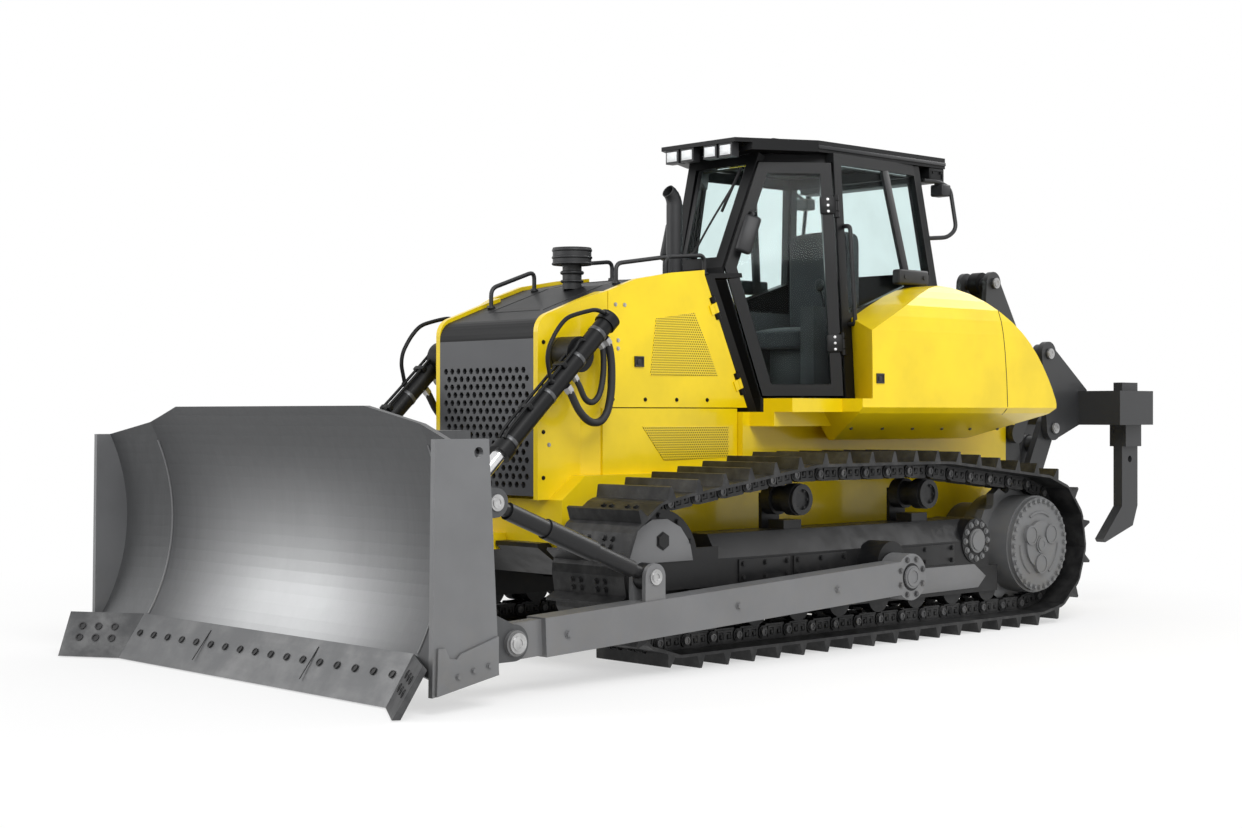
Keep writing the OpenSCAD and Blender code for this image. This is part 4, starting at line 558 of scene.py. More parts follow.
# hose loops beside the lift barrels, from the barrel's head round to its side
hoses = {"x": 620, "shift": 8, "loops": (
    (0.044, ((-3309, 1761), (-3284, 1733), (-3264, 1660), (-3258, 1560), (-3266, 1450), (-3295, 1355), (-3350, 1305),
             (-3425, 1310), (-3500, 1370), (-3562, 1466), (-3590, 1497))),
    (0.034, ((-3336, 1739), (-3312, 1712), (-3303, 1640), (-3310, 1540), (-3338, 1450), (-3388, 1412), (-3440, 1432),
             (-3485, 1506), (-3526, 1560))))}


def hosePlaces(side, index):
    return sideLine(side, hoses["x"] + hoses["shift"] * (1 - 2 * index), hoses["loops"][index][1])


def smoothLine(points, steps=8):
    line = []
    ends = [points[0]] + points + [points[-1]]
    for a, b, c, d in zip(ends, ends[1:], ends[2:], ends[3:]):
        for step in range(steps):
            t = step / steps
            line.append(b + 0.5 * t * ((c - a) + t * ((2 * a - 5 * b + 4 * c - d) + t * (3 * (b - c) + d - a))))
    return line + [points[-1]]


for side, label in sides:
    for index, (wide, route) in enumerate(hoses["loops"]):
        line = smoothLine(hosePlaces(side, index))
        hose = tube("liftHose" + label + str(index), line, wide / 2, smooth=False, around=14)
        finish(hose, blackRubber, "lift_barrel_pair", 60)
        sum((b - a).length for a, b in zip(line, line[1:]))
print("hoses hung")

# the line of the track pins, worked out as the part's drawing does: y and z as one complex number
trackLine = {"gauge": 1880, "base": 3300, "shoes": 44, "sprocketZ": 510, "idlerZ": 490, "carrierZ": 860,
             "carriers": (-2190, -1030), "pinDrop": 126, "carrierR": 142.3}


def beltPins(sizes):
    wheels = [(complex(-sizes["base"], sizes["idlerZ"]), sizes["idlerZ"] - sizes["pinDrop"]),
              (complex(0, sizes["sprocketZ"]), sizes["sprocketZ"] - sizes["pinDrop"])]
    wheels += [(complex(y, sizes["carrierZ"]), sizes["carrierR"]) for y in reversed(sizes["carriers"])]
    runs = []
    for (hub, radius), (nextHub, nextRadius) in zip(wheels, wheels[1:] + wheels[:1]):
        far = abs(nextHub - hub)
        lean = (radius - nextRadius) / far
        normal = (nextHub - hub) / far * complex(lean, -math.sqrt(1 - lean * lean))
        runs.append((hub + radius * normal, nextHub + nextRadius * normal, normal, nextHub, nextRadius))
    legs = []  # straight runs, and arcs with their radius
    for (start, end, normal, hub, radius), after in zip(runs, runs[1:] + runs[:1]):
        turn = cmath.phase(after[2] / normal) % (2 * math.pi)
        legs += [(abs(end - start), start, end - start, 0), (radius * turn, hub, radius * normal, radius)]
    pitch = sum(leg[0] for leg in legs) / sizes["shoes"]
    pins = []
    for index in range(sizes["shoes"]):
        left = index * pitch
        for length, start, reach, radius in legs:
            if left <= length:
                break
            left -= length
        pins.append(start + reach * (cmath.exp(1j * left / radius) if radius else left / length))
    return pins


pins = beltPins(trackLine)
links = list(zip(pins, pins[1:] + pins[:1]))
trackX = trackLine["gauge"] / 2
# bosses and pins: radius, foot, number of sides, step on the end and how far out they stand
chain = {"linkOut": 96, "bosses": (0.036, 0.004, 18, (0.008, 0.004), 0), "pins": (0.021, 0.008, 16, (0.006, -0.004), 6),
         "long": 0.012, "boltSize": 0.0125, "boltXs": (-125, -62, 62, 125), "boltShares": (0.2, 0.42), "boltOut": 61,
         "plateLong": 0.118, "plateHigh": 0.062, "plateT": 0.007, "rim": 0.011, "slope": 0.004, "nutR": 0.012}


def chainRounds(name, side, radius, foot, around, step, out):
    model = roundBar("chainRound", (0, 0, foot), (0, 0, 1), radius, chain["long"], around, step)
    return copiesAt(name, model, [(spot(side * (trackX + way * (chain["linkOut"] + out)), pin.real, pin.imag),
                                   (side * way, 0, 0)) for pin in pins for way in (1, -1)])


def linkPlate():  # a link's side with two windows, a nut in each, lying on z = 0
    thick = chain["plateT"]
    deselect()
    bpy.ops.mesh.primitive_grid_add(x_subdivisions=2, y_subdivisions=1, size=1, location=(0, 0, thick))
    bpy.context.object.scale = (chain["plateLong"], chain["plateHigh"], 1)
    plate = added("linkPlate")
    editFaces(plate, lambda centre, normal: True)
    bpy.ops.mesh.inset(thickness=chain["rim"], use_individual=True)
    bpy.ops.mesh.inset(thickness=chain["slope"], depth=-thick * 0.8, use_individual=True)
    endEdit()
    editFaces(plate, lambda centre, normal: True)
    bpy.ops.mesh.select_mode(type="EDGE")
    bpy.ops.mesh.region_to_loop()
    bpy.ops.mesh.extrude_edges_move(TRANSFORM_OT_translate={"value": (0, 0, -thick)})
    endEdit()
    nuts = [roundBar("linkNut", (way * chain["plateLong"] * 0.25, -0.004, thick * 0.55), (0, 0, 1), chain["nutR"],
                     0.009, 6, (0.003, 0.002)) for way in (-1, 1)]
    return joined("linkPlate", [plate] + nuts)


def linkPlates(name, side):
    turns = []
    for pin, after in links:
        middle = (pin + after) / 2
        along = Vector((0, (after - pin).real, (after - pin).imag)).normalized()
        for way in (1, -1):
            outward = Vector((side * way, 0, 0))
            turn = Matrix((along, outward.cross(along), outward)).transposed().to_4x4()
            place = spot(side * (trackX + way * chain["linkOut"]), middle.real, middle.imag)
            turns.append(Matrix.Translation(place) @ turn)
    return copied(name, linkPlate(), turns)


def shoeBolts(name, side):
    places = []
    for pin, after in links:
        out = -1j * (after - pin) / abs(after - pin)
        for share in chain["boltShares"]:
            place = pin + share * (after - pin) + chain["boltOut"] * out
            places += [(spot(side * (trackX + x), place.real, place.imag), (0, out.real, out.imag))
                       for x in chain["boltXs"]]
    return boltsAt(name, chain["boltSize"], places)


onBothSides(chainRounds, "chainBosses", chainSteel, sizes=chain["bosses"])
onBothSides(chainRounds, "chainPins", pinIron, sizes=chain["pins"])
onBothSides(linkPlates, "linkPlates", chainSteel)
onBothSides(shoeBolts, "shoeBolts", chainSteel)
print("chain pins and shoe bolts made")

# final drive cover: bolted rim, three crescents, three round lids and the plug
drive = {"z": 510, "face": 1158, "rimR": 278, "bolts": 32, "boltSize": 0.0125, "crescentR": 205, "crescentHalf": 30,
         "lidOut": 125, "lidR": 0.062, "plugR": 0.055}


def driveDetail(name, side):
    face, z = drive["face"], drive["z"]
    made = [boltsAt("driveBolts", drive["boltSize"], ringPlaces(side, face, 0, z, drive["rimR"], evenly(drive["bolts"])))]
    for third in evenly(3):
        angles = [third + 90 + drive["crescentHalf"] * step / 4 for step in range(-4, 5)]
        line = [place for place, way in ringPlaces(side, face + 1, 0, z, drive["crescentR"], angles)]
        made.append(tube("crescent", line, 0.009))
        place, way = ringPlaces(side, face + 10, 0, z, drive["lidOut"], [third + 30])[0]
        made.append(roundBar("driveLid", place, way, drive["lidR"], 0.03, 32, (0.009, -0.004)))
    made.append(roundBar("plug", spot(side * (face + 18), 0, z), (side, 0, 0), drive["plugR"], 0.012, 32,
                         (0.012, 0.006), (0.02, -0.005)))
    return joined(name, made)


# bolted flange of the track frame's pivot
pivot = {"y": -590, "z": 556, "out": 1100, "ringR": 112, "bolts": 12, "boltSize": 0.013, "capR": 0.075}


def pivotDetail(name, side):
    y, z, out = pivot["y"], pivot["z"], pivot["out"]
    ring = boltsAt("pivotBolts", pivot["boltSize"], ringPlaces(side, out, y, z, pivot["ringR"], evenly(pivot["bolts"])))
    cap = roundBar("pivotCap", spot(side * (out + 6), y, z), (side, 0, 0), pivot["capR"], 0.014, 32, (0.015, 0.008))
    return joined(name, [ring, cap])


onBothSides(driveDetail, "driveDetail", driveEnamel)
onBothSides(pivotDetail, "pivotDetail", driveEnamel)
print("drives and pivots dressed")

# bolts of the cutting edge, flush in their holes, and the joints between its three lengths
edge = {"slope": (0, -125, -161), "out": 0.0148, "boltR": 0.02, "boltUp": 0.018,
        "sections": ((-1240, -500, 5), (-500, 500, 7), (500, 1240, 5)), "seam": (-0.098, 0.088)}


def edgeDetail():
    slope = Vector(edge["slope"]).normalized()
    out = Vector((0, slope.z, -slope.y))
    low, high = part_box("cutting_edge")
    middle = Vector((0, (low.y + high.y) / 2, (low.z + high.z) / 2)) + out * edge["out"]
    model = roundBar("edgeBolt", (0, 0, 0.0005), (0, 0, 1), edge["boltR"], 0.004, 16, (0.006, -0.003))
    places, seams = [], []
    for start, end, count in edge["sections"]:
        xs = [start + (index + 0.5) * (end - start) / count for index in range(count)]
        places += [(Vector((x / 1000, 0, 0)) + middle - slope * edge["boltUp"], out) for x in xs]
    for start, end, count in edge["sections"][1:]:
        first, second = (Vector((start / 1000, 0, 0)) + middle + slope * along for along in edge["seam"])
        seams.append(beam("edgeSeam", first, second, 0.006, 0.004, out, 0.001))
    return copiesAt("edgeBolts", model, places), joined("edgeSeams", seams)


for piece in edgeDetail():
    finish(piece, castIron, "blade")

# pin heads of arms and braces
heads = {"armX": 1415, "arm": (-4590, 262), "armR": 0.05, "braceXs": (1382, 1258),
         "braces": ((-3650, 520), (-4690, 930)), "braceR": 0.04}


def pinHead(name, place, way, radius):
    return roundBar(name, place, (way, 0, 0), radius, 0.016, 28, (radius * 0.3, 0.004), (radius * 0.25, -0.004))


def bladePins():
    made = []
    for side, label in sides:
        made.append(pinHead("armPin", spot(side * heads["armX"], *heads["arm"]), side, heads["armR"]))
        made += [pinHead("bracePin", spot(side * x, *place), way * side, heads["braceR"])
                 for place in heads["braces"] for way, x in zip((1, -1), heads["braceXs"])]
    return joined("bladePins", made)


finish(bladePins(), pinSteel, "blade")
print("blade dressed")

# lamp fronts with bezels: four ahead and two behind, on the roof's edges
lamps = {"rows": ((-1, -1949, (-232, -100, 100, 232)), (1, -153, (-402, 402))), "z": 2961, "half": (0.043, 0.004, 0.030)}


def lampFronts():
    made = []
    half = Vector(lamps["half"])
    for way, y, xs in lamps["rows"]:
        for x in xs:
            middle = spot(x, y, lamps["z"])
            lens = stepEnd(block("lens", middle - half, middle + half), (0, way, 0), (0.008, 0.004))
            useModifier(lens, "BEVEL", width=0.002, segments=2)
            made.append(lens)
    return joined("lampFronts", made)


finish(lampFronts(), lampLens)

# punched screens and latches on the engine doors
screens = {"x": 521.5, "upper": ((-2816, 1892), (-2502, 1936), (-2310, 1572), (-2862, 1565)),
           "lower": ((-2925, 1278), (-2223, 1276), (-2223, 1094), (-2753, 1081)), "thick": 0.004, "edge": 0.0015}
latches = {"door": (520, -2950, 1644), "fender": (1058, -1480, 1560), "half": (0.006, 0.035, 0.030)}


def latch(name, side, x, y, z):  # a sunk cup with a paddle
    middle = spot(side * (x + 4), y, z)
    half = Vector(latches["half"])
    plate = stepEnd(block(name, middle - half, middle + half), (side, 0, 0), (0.009, -0.006))
    useModifier(plate, "BEVEL", width=0.002, segments=2)
    paddle = beam("latchPaddle", middle - Vector((0, 0.004, 0.016)), middle + Vector((0, -0.004, 0.012)), 0.026, 0.009,
                  (side, 0, 0), 0.003)
    return joined(name, [plate, paddle])


for side, label in sides:
    door = label.lower() + "_engine_door"
    for name, body in (("upper", door), ("lower", "tractor")):
        corners = sideLine(side, screens["x"], screens[name])
        plate = outlinePlate(name + "Screen" + label, corners, screens["thick"], screens["edge"], 1)
        finish(plate, doorScreen, body)
    finish(latch("latch", side, *latches["door"]), blackPlastic, door)
    finish(latch("fenderLatch" + label, side, *latches["fender"]), blackPlastic)

# handrails over the hood as bent tubes in place of the plain bars
rails = {"rows": ((-330, -3330, 330), (330, -2950, 420), (-330, -2700, 330), (330, -2560, 330)), "radius": 0.013,
         "rise": 95, "sunk": 24, "bend": 0.045, "footR": 0.024}
hoodLine = ((-3640, 1795), (-3530, 1905), (-3358, 1975), (-2964, 2112), (-2680, 2160), (-2400, 2190), (-2150, 2206),
            (-2000, 2212))


def hoodHeight(y):
    for (y0, z0), (y1, z1) in zip(hoodLine, hoodLine[1:]):
        if y0 <= y <= y1:
            return z0 + (z1 - z0) * (y - y0) / (y1 - y0)
    return hoodLine[-1][1]


def handrails():
    made = []
    for x, y, run in rails["rows"]:
        ends = [(y, hoodHeight(y)), (y + run, hoodHeight(y + run))]
        feet = [spot(x, along, z - rails["sunk"]) for along, z in ends]
        tops = [spot(x, along, z + rails["rise"]) for along, z in ends]
        made.append(bentTube("rail", [feet[0], *tops, feet[1]], rails["radius"], rails["bend"]))
        made += [roundBar("railFoot", foot + Vector((0, 0, 0.008)), (0, 0.15, 1), rails["footR"], 0.014, 16)
                 for foot in feet]
    return joined("handrails", made)


handrailPiece = finish(handrails(), blackPlastic, angle=60)
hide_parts("grab_rails")
print("hood dressed")

# operator's seat: crowned pads on a pedestal
seat = {"pad": ((-250, -1250, 1770), (250, -790, 1900), 0.03), "back": ((-250, -840, 1840), (250, -700, 2540), 0.02),
        "pedestal": ((-170, -1120, 1441), (170, -830, 1770)), "fill": 0.8}


def cushion(name, low, high, crown):
    low, high = spot(*low), spot(*high)
    pad = block(name, low, high)
    pick(pad)
    bpy.ops.object.mode_set(mode="EDIT")
    bpy.ops.mesh.select_all(action="SELECT")
    bpy.ops.mesh.subdivide(number_cuts=5)
    endEdit()
    middle, half = (low + high) / 2, (high - low) / 2
    for vertex in pad.data.vertices:
        x, y, z = ((vertex.co[axis] - middle[axis]) / half[axis] for axis in range(3))
        if z > 0.5:
            vertex.co.z += crown * (1 - x ** 4) * (1 - y ** 4) - crown * 0.6
    useModifier(pad, "SUBSURF", levels=2, render_levels=2)
    return pad


for name in ("pad", "back"):
    pad = cushion("seatPad" if name == "pad" else "backPad", *seat[name])
    finish(pad, seatCloth, angle=60)
pedestal = block("seatPedestal", *(spot(*corner) for corner in seat["pedestal"]), 0.02)
finish(pedestal, blackPlastic)
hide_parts("seat_base")
print("cab fitted out")

# cab sides: posts between the panes, sill boxes, corner handles, rear lamps and roof strips
cab = {"bTop": (600, -1370, 2960), "slopeY": 0.04494, "slopeZ": 0.12204, "post": ((-715, 2170), (-850, 2892)),
       "sillYs": (-880, -590), "sillZs": (2168, 2262), "sillOut": 70,
       "handle": ((-420, 2870, -12), (-330, 2866, 40), (-235, 2830, 62), (-225, 2560, 72), (-300, 2500, 50),
                  (-430, 2490, -12)),
       "lamp": ((535, -330, 2772), (640, -240, 2850)), "bracket": ((560, -285, 2845), (560, -285, 2880)),
       "strip": ((572, -1474, 2990), (572, -215, 2990))}


def sidePlane(y, z):  # the cab side's outer face
    x, topY, topZ = cab["bTop"]
    return x - cab["slopeY"] * (y - topY) - cab["slopeZ"] * (z - topZ)


def onSide(side, place):
    return spot(side * place[0], *place[1:])


def cabTrim(name, side):
    facing = (side, 0, 0)
    foot, top = (spot(side * (sidePlane(*place) - 12), *place) for place in cab["post"])
    made = [beam("sidePost", foot, top, 0.058, 0.03, facing)]
    (y0, y1), (z0, z1) = cab["sillYs"], cab["sillZs"]
    x = sidePlane((y0 + y1) / 2, (z0 + z1) / 2)
    made.append(block("sillBox", spot(side * x, y0, z0), spot(side * (x + cab["sillOut"]), y1, z1), 0.014, 3))
    made += [roundBar("sillBolt", spot(side * (x + cab["sillOut"]), y, (z0 + z1) / 2), facing, 0.014, 0.012, 12)
             for y in (y0 + 50, y1 - 50)]
    handle = [spot(side * (sidePlane(y, z) + out), y, z) for y, z, out in cab["handle"]]
    made.append(bentTube("cornerHandle", handle, 0.014, 0.06))
    low, high = (onSide(side, corner) for corner in cab["lamp"])
    made.append(block("rearLamp", low, high, 0.012, 3))
    low, high = (onSide(side, end) for end in cab["bracket"])
    made.append(beam("lampBracket", low, high, 0.03, 0.03, (0, 1, 0)))
    front, rear = (onSide(side, end) for end in cab["strip"])
    made.append(beam("roofStrip", front, rear, 0.022, 0.012, facing, 0.003))
    return joined(name, made)


onBothSides(cabTrim, "cabTrim", blackPlastic, angle=50)

# cab doors: hinge plates with bolts, mirror, seals behind the gaps and the rail on the rear pillar
doorway = {"out": (0.752, -0.645, 0.136), "aTop": (300, -1720, 2960), "aBend": (233, -1977, 2245),
           "bTop": (600, -1370, 2960), "bLow": (790, -1470, 1440), "hinges": (0.2, 0.76), "hingeEnds": (-0.012, 0.058),
           "sealIn": -86, "rail": ((0.30, -12), (0.30, 50), (0.70, 50), (0.70, -12))}


def doorSpot(a, b, share, side, outward, inward=0.0):  # a place on a door's edge line, moved out and along the door
    way = Vector(doorway["out"])
    first, second = Vector(doorway[a]), Vector(doorway[b])
    along = (Vector(doorway["bTop"]) - Vector(doorway["bLow"])).normalized().cross(way)
    return onSide(side, first + (second - first) * share + way * outward + along * inward)


def doorHinges(side, label, facing):
    plates, bolts = [], []
    for share in doorway["hinges"]:
        low, high = (doorSpot("bLow", "bTop", share + end, side, 6, -52) for end in doorway["hingeEnds"])
        plates.append(beam("hingePlate", low, high, 0.10, 0.014, facing, 0.005))
        bolts += [(low + (high - low) * step + facing * 0.007, facing) for step in (0.15, 0.5, 0.85)]
    return joined("hingePlates" + label, plates), boltsAt("hingeBolts" + label, 0.0055, bolts)


def doorMirror(name, side, facing):
    low, high, knee, foot = (doorSpot("aTop", "aBend", share, side, out, along) for share, out, along in
                             ((0.90, 55, 96), (0.58, 55, 96), (0.54, 45, 80), (0.53, 2, 62)))
    glass = beam("mirror", low, high, 0.10, 0.05, facing, 0.02)
    return joined(name, [glass, tube("mirrorArm", [high, knee, foot], 0.009)])


def doorSeals(name, side, facing):
    inside = doorway["sealIn"]
    top = (doorSpot("aTop", "aBend", 0.075, side, inside), doorSpot("bTop", "bLow", 0.035, side, inside))
    front = (doorSpot("aTop", "aBend", 0.0, side, inside), doorSpot("aTop", "aBend", 1.0, side, inside))
    return joined(name, [beam("topSeal", *top, 0.13, 0.024, facing), beam("frontSeal", *front, 0.10, 0.024, facing)])


def pillarRail(name, side):
    points = [doorSpot("bLow", "bTop", share, side, 0) + Vector((side * out / 1000, 0.062, 0))
              for share, out in doorway["rail"]]
    return bentTube(name, points, 0.014, 0.04)


for side, label in sides:
    door = label.lower() + "_door"
    x, y, z = doorway["out"]
    facing = Vector((side * x, y, z))
    plates, bolts = doorHinges(side, label, facing)
    finish(plates, blackEnamel, door)
    finish(bolts, pinSteel, door)
    finish(doorMirror("doorMirror" + label, side, facing), blackPlastic, door, 50)
    finish(doorSeals("doorSeals" + label, side, facing), blackRubber)
onBothSides(pillarRail, "pillarRail", frameEnamel, angle=50)
print("doors fitted")

roofRibs = {"xs": (-360, -120, 120, 360), "ys": (-1700, -330), "z": 3034, "wide": 0.09, "high": 0.014, "edge": 0.006}
ribs = [beam("roofRib", *(spot(x, y, roofRibs["z"]) for y in roofRibs["ys"]), roofRibs["wide"], roofRibs["high"],
             (0, 0, 1), roofRibs["edge"]) for x in roofRibs["xs"]]
finish(joined("roofRibbing", ribs), blackEnamel)

# box under the roof's rear edge, with sunk rear and side panels
roofBox = {"half": 566, "ys": (-372, -219), "zs": (2870, 2962), "step": (0.014, -0.005), "boltIn": 35, "boltDown": 30}


def rearBox():
    (y0, y1), (z0, z1), half = roofBox["ys"], roofBox["zs"], roofBox["half"]
    box = block("roofBox", spot(-half, y0, z0), spot(half, y1, z1), 0.008, 3)
    for way in ((0, 1, 0), (1, 0, 0), (-1, 0, 0)):
        stepEnd(box, way, roofBox["step"])
    x = half + roofBox["step"][1] * 1000
    places = [(spot(side * x, y, z1 - roofBox["boltDown"]), (side, 0, 0)) for side, label in sides
              for y in (y0 + roofBox["boltIn"], y1 - roofBox["boltIn"])]
    return joined("roofBox", [box, boltsAt("boxBolts", 0.008, places)])


finish(rearBox(), blackEnamel)

# wiper on the windscreen: arm from its spindle, blade holder and hub
wiper = {"arm": ((-60, -1938, 2330), (40, -1890, 2520), (150, -1795, 2760)),
         "blade": ((100, -1843, 2600), (185, -1757, 2875)), "hubWay": (0, -1, 0.35)}


def wiperSet():
    arm = [spot(*place) for place in wiper["arm"]]
    low, high = (spot(*place) for place in wiper["blade"])
    return joined("wiperSet", [tube("wiperArm", arm, 0.007),
                               beam("wiperBlade", low, high, 0.012, 0.016, (0, -1, 0.3), 0.002),
                               roundBar("wiperHub", arm[0], wiper["hubWay"], 0.02, 0.03, 16, (0.006, 0.004))])


finish(wiperSet(), blackRubber, angle=50)

# levers and switches by the seat
levers = {"xs": (375, -375), "y": -1200, "z": 2020, "stem": ((1, 0, -4), (1, -12, 60), (0.97, -30, 120)),
          "knobR": 0.034, "switches": (150, 205, 260, 315)}


def leverSet():
    made = []
    y, z = levers["y"], levers["z"]
    for x in levers["xs"]:
        stem = [spot(x * share, y + along, z + up) for share, along, up in levers["stem"]]
        made.append(tube("leverStem", stem, 0.010))
        deselect()
        bpy.ops.mesh.primitive_uv_sphere_add(segments=20, ring_count=12, radius=levers["knobR"],
                                             location=stem[-1] + Vector((0, 0, 0.02)), scale=(0.8, 0.9, 1.25))
        made.append(added("leverKnob"))
        made += [roundBar("leverSwitch", spot(x, y + along, z + 5), (0, 0, 1), 0.012, 0.014, 12)
                 for along in levers["switches"]]
    return joined("leverSet", made)


finish(leverSet(), blackPlastic, angle=50)
print("cab trimmed")

# carrier roller caps, covers along the track frames, idler guard bolts and plates on the frames' sides
undercarriage = {"capX": 1052, "capR": 0.082, "capRingR": 56, "guard": (-3350, 556), "guardR": 255, "guardX": 1096,
                 "guardAngles": (25, 58, 90, 122, 155), "guardBoss": (-3330, 676), "coverXs": (1092, 1102),
                 "covers": ((-2740, -2320), (-2290, -1830), (-1400, -810)), "coverZ": (424, 548), "plateT": 0.008,
                 "idlerFace": ((-3600, 562), (-3575, 660), (-3505, 745), (-3405, 792), (-3295, 792), (-3195, 745),
                               (-3125, 660), (-3100, 562)),
                 "frameGuard": ((-1430, 410), (-600, 410), (-480, 330), (-560, 262), (-1430, 250))}


def carrierCap(side, y):
    x, z = undercarriage["capX"], trackLine["carrierZ"]
    cap = roundBar("carrierCap", spot(side * (x + 5), y, z), (side, 0, 0), undercarriage["capR"], 0.014, 36,
                   (0.016, -0.006), (0.022, 0.012))
    places = ringPlaces(side, x + 6, y, z, undercarriage["capRingR"], evenly(6))
    return joined("carrierCap", [cap, boltsAt("capBolts", 0.009, places)])


def trackCovers(name, side):
    made = []
    (x0, x1), (z0, z1), guardX = undercarriage["coverXs"], undercarriage["coverZ"], undercarriage["guardX"]
    for y0, y1 in undercarriage["covers"]:
        made.append(block("cover", spot(side * x0, y0, z0), spot(side * x1, y1, z1), 0.004))
        rows = [(y, z) for y in (y0 + 30, (y0 + y1) / 2, y1 - 30) for z in (z0 + 24, z1 - 24)]
        made.append(boltsAt("coverBolts", 0.011, sidePlaces(side, x1, rows)))
    places = ringPlaces(side, guardX, *undercarriage["guard"], undercarriage["guardR"], undercarriage["guardAngles"])
    made.append(boltsAt("guardBolts", 0.012, places))
    made.append(roundBar("guardBoss", spot(side * (guardX + 6), *undercarriage["guardBoss"]), (side, 0, 0), 0.05, 0.014,
                         6, (0.008, 0.005)))
    return joined(name, made)


for side, label in sides:
    for name in ("idlerFace", "frameGuard"):
        starts = sideLine(side, 1700, undercarriage[name])
        plate = facePlate(name + label, "track_frame_" + label.lower(), starts, (-side, 0, 0), undercarriage["plateT"])
        finish(plate, armEnamel)
    caps = joined("carrierCaps" + label, [carrierCap(side, y) for y in trackLine["carriers"]])
    finish(caps, castIron)
onBothSides(trackCovers, "trackCovers", frameEnamel)
print("track frames dressed")

# end bit bolts, and weld beads at the wing seams
bladeTrim = {"mid": 1240, "foot": -5090, "bitAngle": 32, "bitXs": (150, 250, 350), "bitZs": (105, 165),
             "zs": (165, 1388), "curve": 1040, "beadZs": range(235, 1204, 88)}


def bitBolts():
    model = roundBar("bitBolt", (0, 0, 0.001), (0, 0, 1), 0.022, 0.008, 14, (0.007, -0.004))
    turn = math.radians(bladeTrim["bitAngle"])
    outward = Vector((math.sin(turn), math.cos(turn), 0))
    places = []
    for along in bladeTrim["bitXs"]:
        for z in bladeTrim["bitZs"]:
            aim = spot(bladeTrim["mid"] + along * math.cos(turn), bladeTrim["foot"] - along * math.sin(turn), z)
            places.append(onFace("end_bits", aim - outward * 0.6, outward))
    return copiesAt("bitBolts", model, mirroredPlaces(places))


def boardLine(z):  # the board's face from its foot to its top
    (low, top), radius = bladeTrim["zs"], bladeTrim["curve"]
    sag = radius - math.sqrt(radius * radius - ((top - low) / 2) ** 2)
    return bladeTrim["foot"] - radius + sag + math.sqrt(radius * radius - (z - (top + low) / 2) ** 2)


beads = [tube("seamBead", [spot(side * bladeTrim["mid"], boardLine(z) - 2, z) for z in bladeTrim["beadZs"]], 0.007)
         for side, label in sides]
finish(bitBolts(), castIron, "blade")
finish(joined("weldBeads", beads), armEnamel, "blade", 60)
print("blade trimmed")

# lift cylinders: steel tubes with clamps, collars, the hoses' unions and the bent guard
lift = {"pivot": (0, -3480, 1672), "rodPin": (0, -4575, 640), "x": 620, "tubeShifts": (-22, 22),
        "tube": ((-60, 40), (-40, 66), (20, 62), (300, 62), (670, 62), (710, 52)), "clamps": (150, 480), "clampOff": 57,
        "bands": (-165, 40, 330, 690), "bandR": 0.0545, "guardX": 648,
        "guard": ((-3318, 1896), (-3392, 1918), (-3500, 1896), (-3606, 1866), (-3677, 1795), (-3732, 1706),
                  (-3744, 1637), (-3716, 1520))}
liftWay = (Vector(lift["rodPin"]) - Vector(lift["pivot"])).normalized()
liftUp = Vector((0, liftWay.z, -liftWay.y))


def liftSpot(side, along, off=0, shift=0):  # along the cylinder from its pivot, and above it
    place = Vector(lift["pivot"]) + liftWay * along + liftUp * off
    return spot(side * (lift["x"] + shift), place.y, place.z)


def liftTubes(name, side):
    made = [tube("liftTube", [liftSpot(side, along, off, shift) for along, off in lift["tube"]], 0.009)
            for shift in lift["tubeShifts"]]
    half = Vector((0.045, 0, 0))
    for along in lift["clamps"]:
        middle = liftSpot(side, along, lift["clampOff"])
        made.append(beam("tubeClamp", middle - half, middle + half, 0.03, 0.03, liftUp))
    return joined(name, made)


def liftCollars(name, side):
    bands = [roundBar("band", liftSpot(side, along), liftWay, lift["bandR"], 0.022, 40, ends="NOTHING")
             for along in lift["bands"]]
    for band in bands:
        useModifier(band, "SOLIDIFY", thickness=0.004, offset=-1)
        useModifier(band, "BEVEL", width=0.001, segments=2)
    return joined(name, bands)


def liftGuard(name, side):  # bent pipe over the barrel, from its head to the second collar
    points = sideLine(side, lift["guardX"], lift["guard"])
    way = points[1] - points[0]
    feet = [roundBar("guardFoot", place, way, 0.017, 0.022, 14, (0.005, 0.006)) for place in (points[0], points[-1])]
    return joined(name, [bentTube("guardPipe", points, 0.012, 0.05)] + feet)


def liftUnions(name, side):
    made = []
    for index, (wide, route) in enumerate(hoses["loops"]):
        ends = hosePlaces(side, index)
        for first, second in ((ends[0], ends[1]), (ends[-1], ends[-2])):
            way = (second - first).normalized()
            made.append(roundBar("hoseNut", first + way * 0.018, way, wide * 0.64, 0.034, 6, (0.004, 0.008)))
    return joined(name, made)


onBothSides(liftTubes, "liftTubes", blackEnamel, "lift_barrel_pair", 50)
onBothSides(liftCollars, "liftCollars", grilleEnamel, "lift_barrel_pair")
onBothSides(liftUnions, "liftUnions", pinSteel, "lift_barrel_pair")
onBothSides(liftGuard, "liftGuard", blackEnamel, "lift_barrel_pair", 50)
print("lift cylinders fitted")

# ripper pin heads on the towers and on the beam
ripperPins = {"radius": 0.036, "rows": (("ripperHeads", "tractor", 575, ((340, 2235),)),
                                        ("beamHeads", "ripper_tool", 676, ((890, 1250), (830, 1765))))}
for name, body, x, places in ripperPins["rows"]:
    made = [pinHead("ripperPin", spot(side * x, *place), side, ripperPins["radius"])
            for side, label in sides for place in places]
    finish(joined(name, made), pinSteel, body)

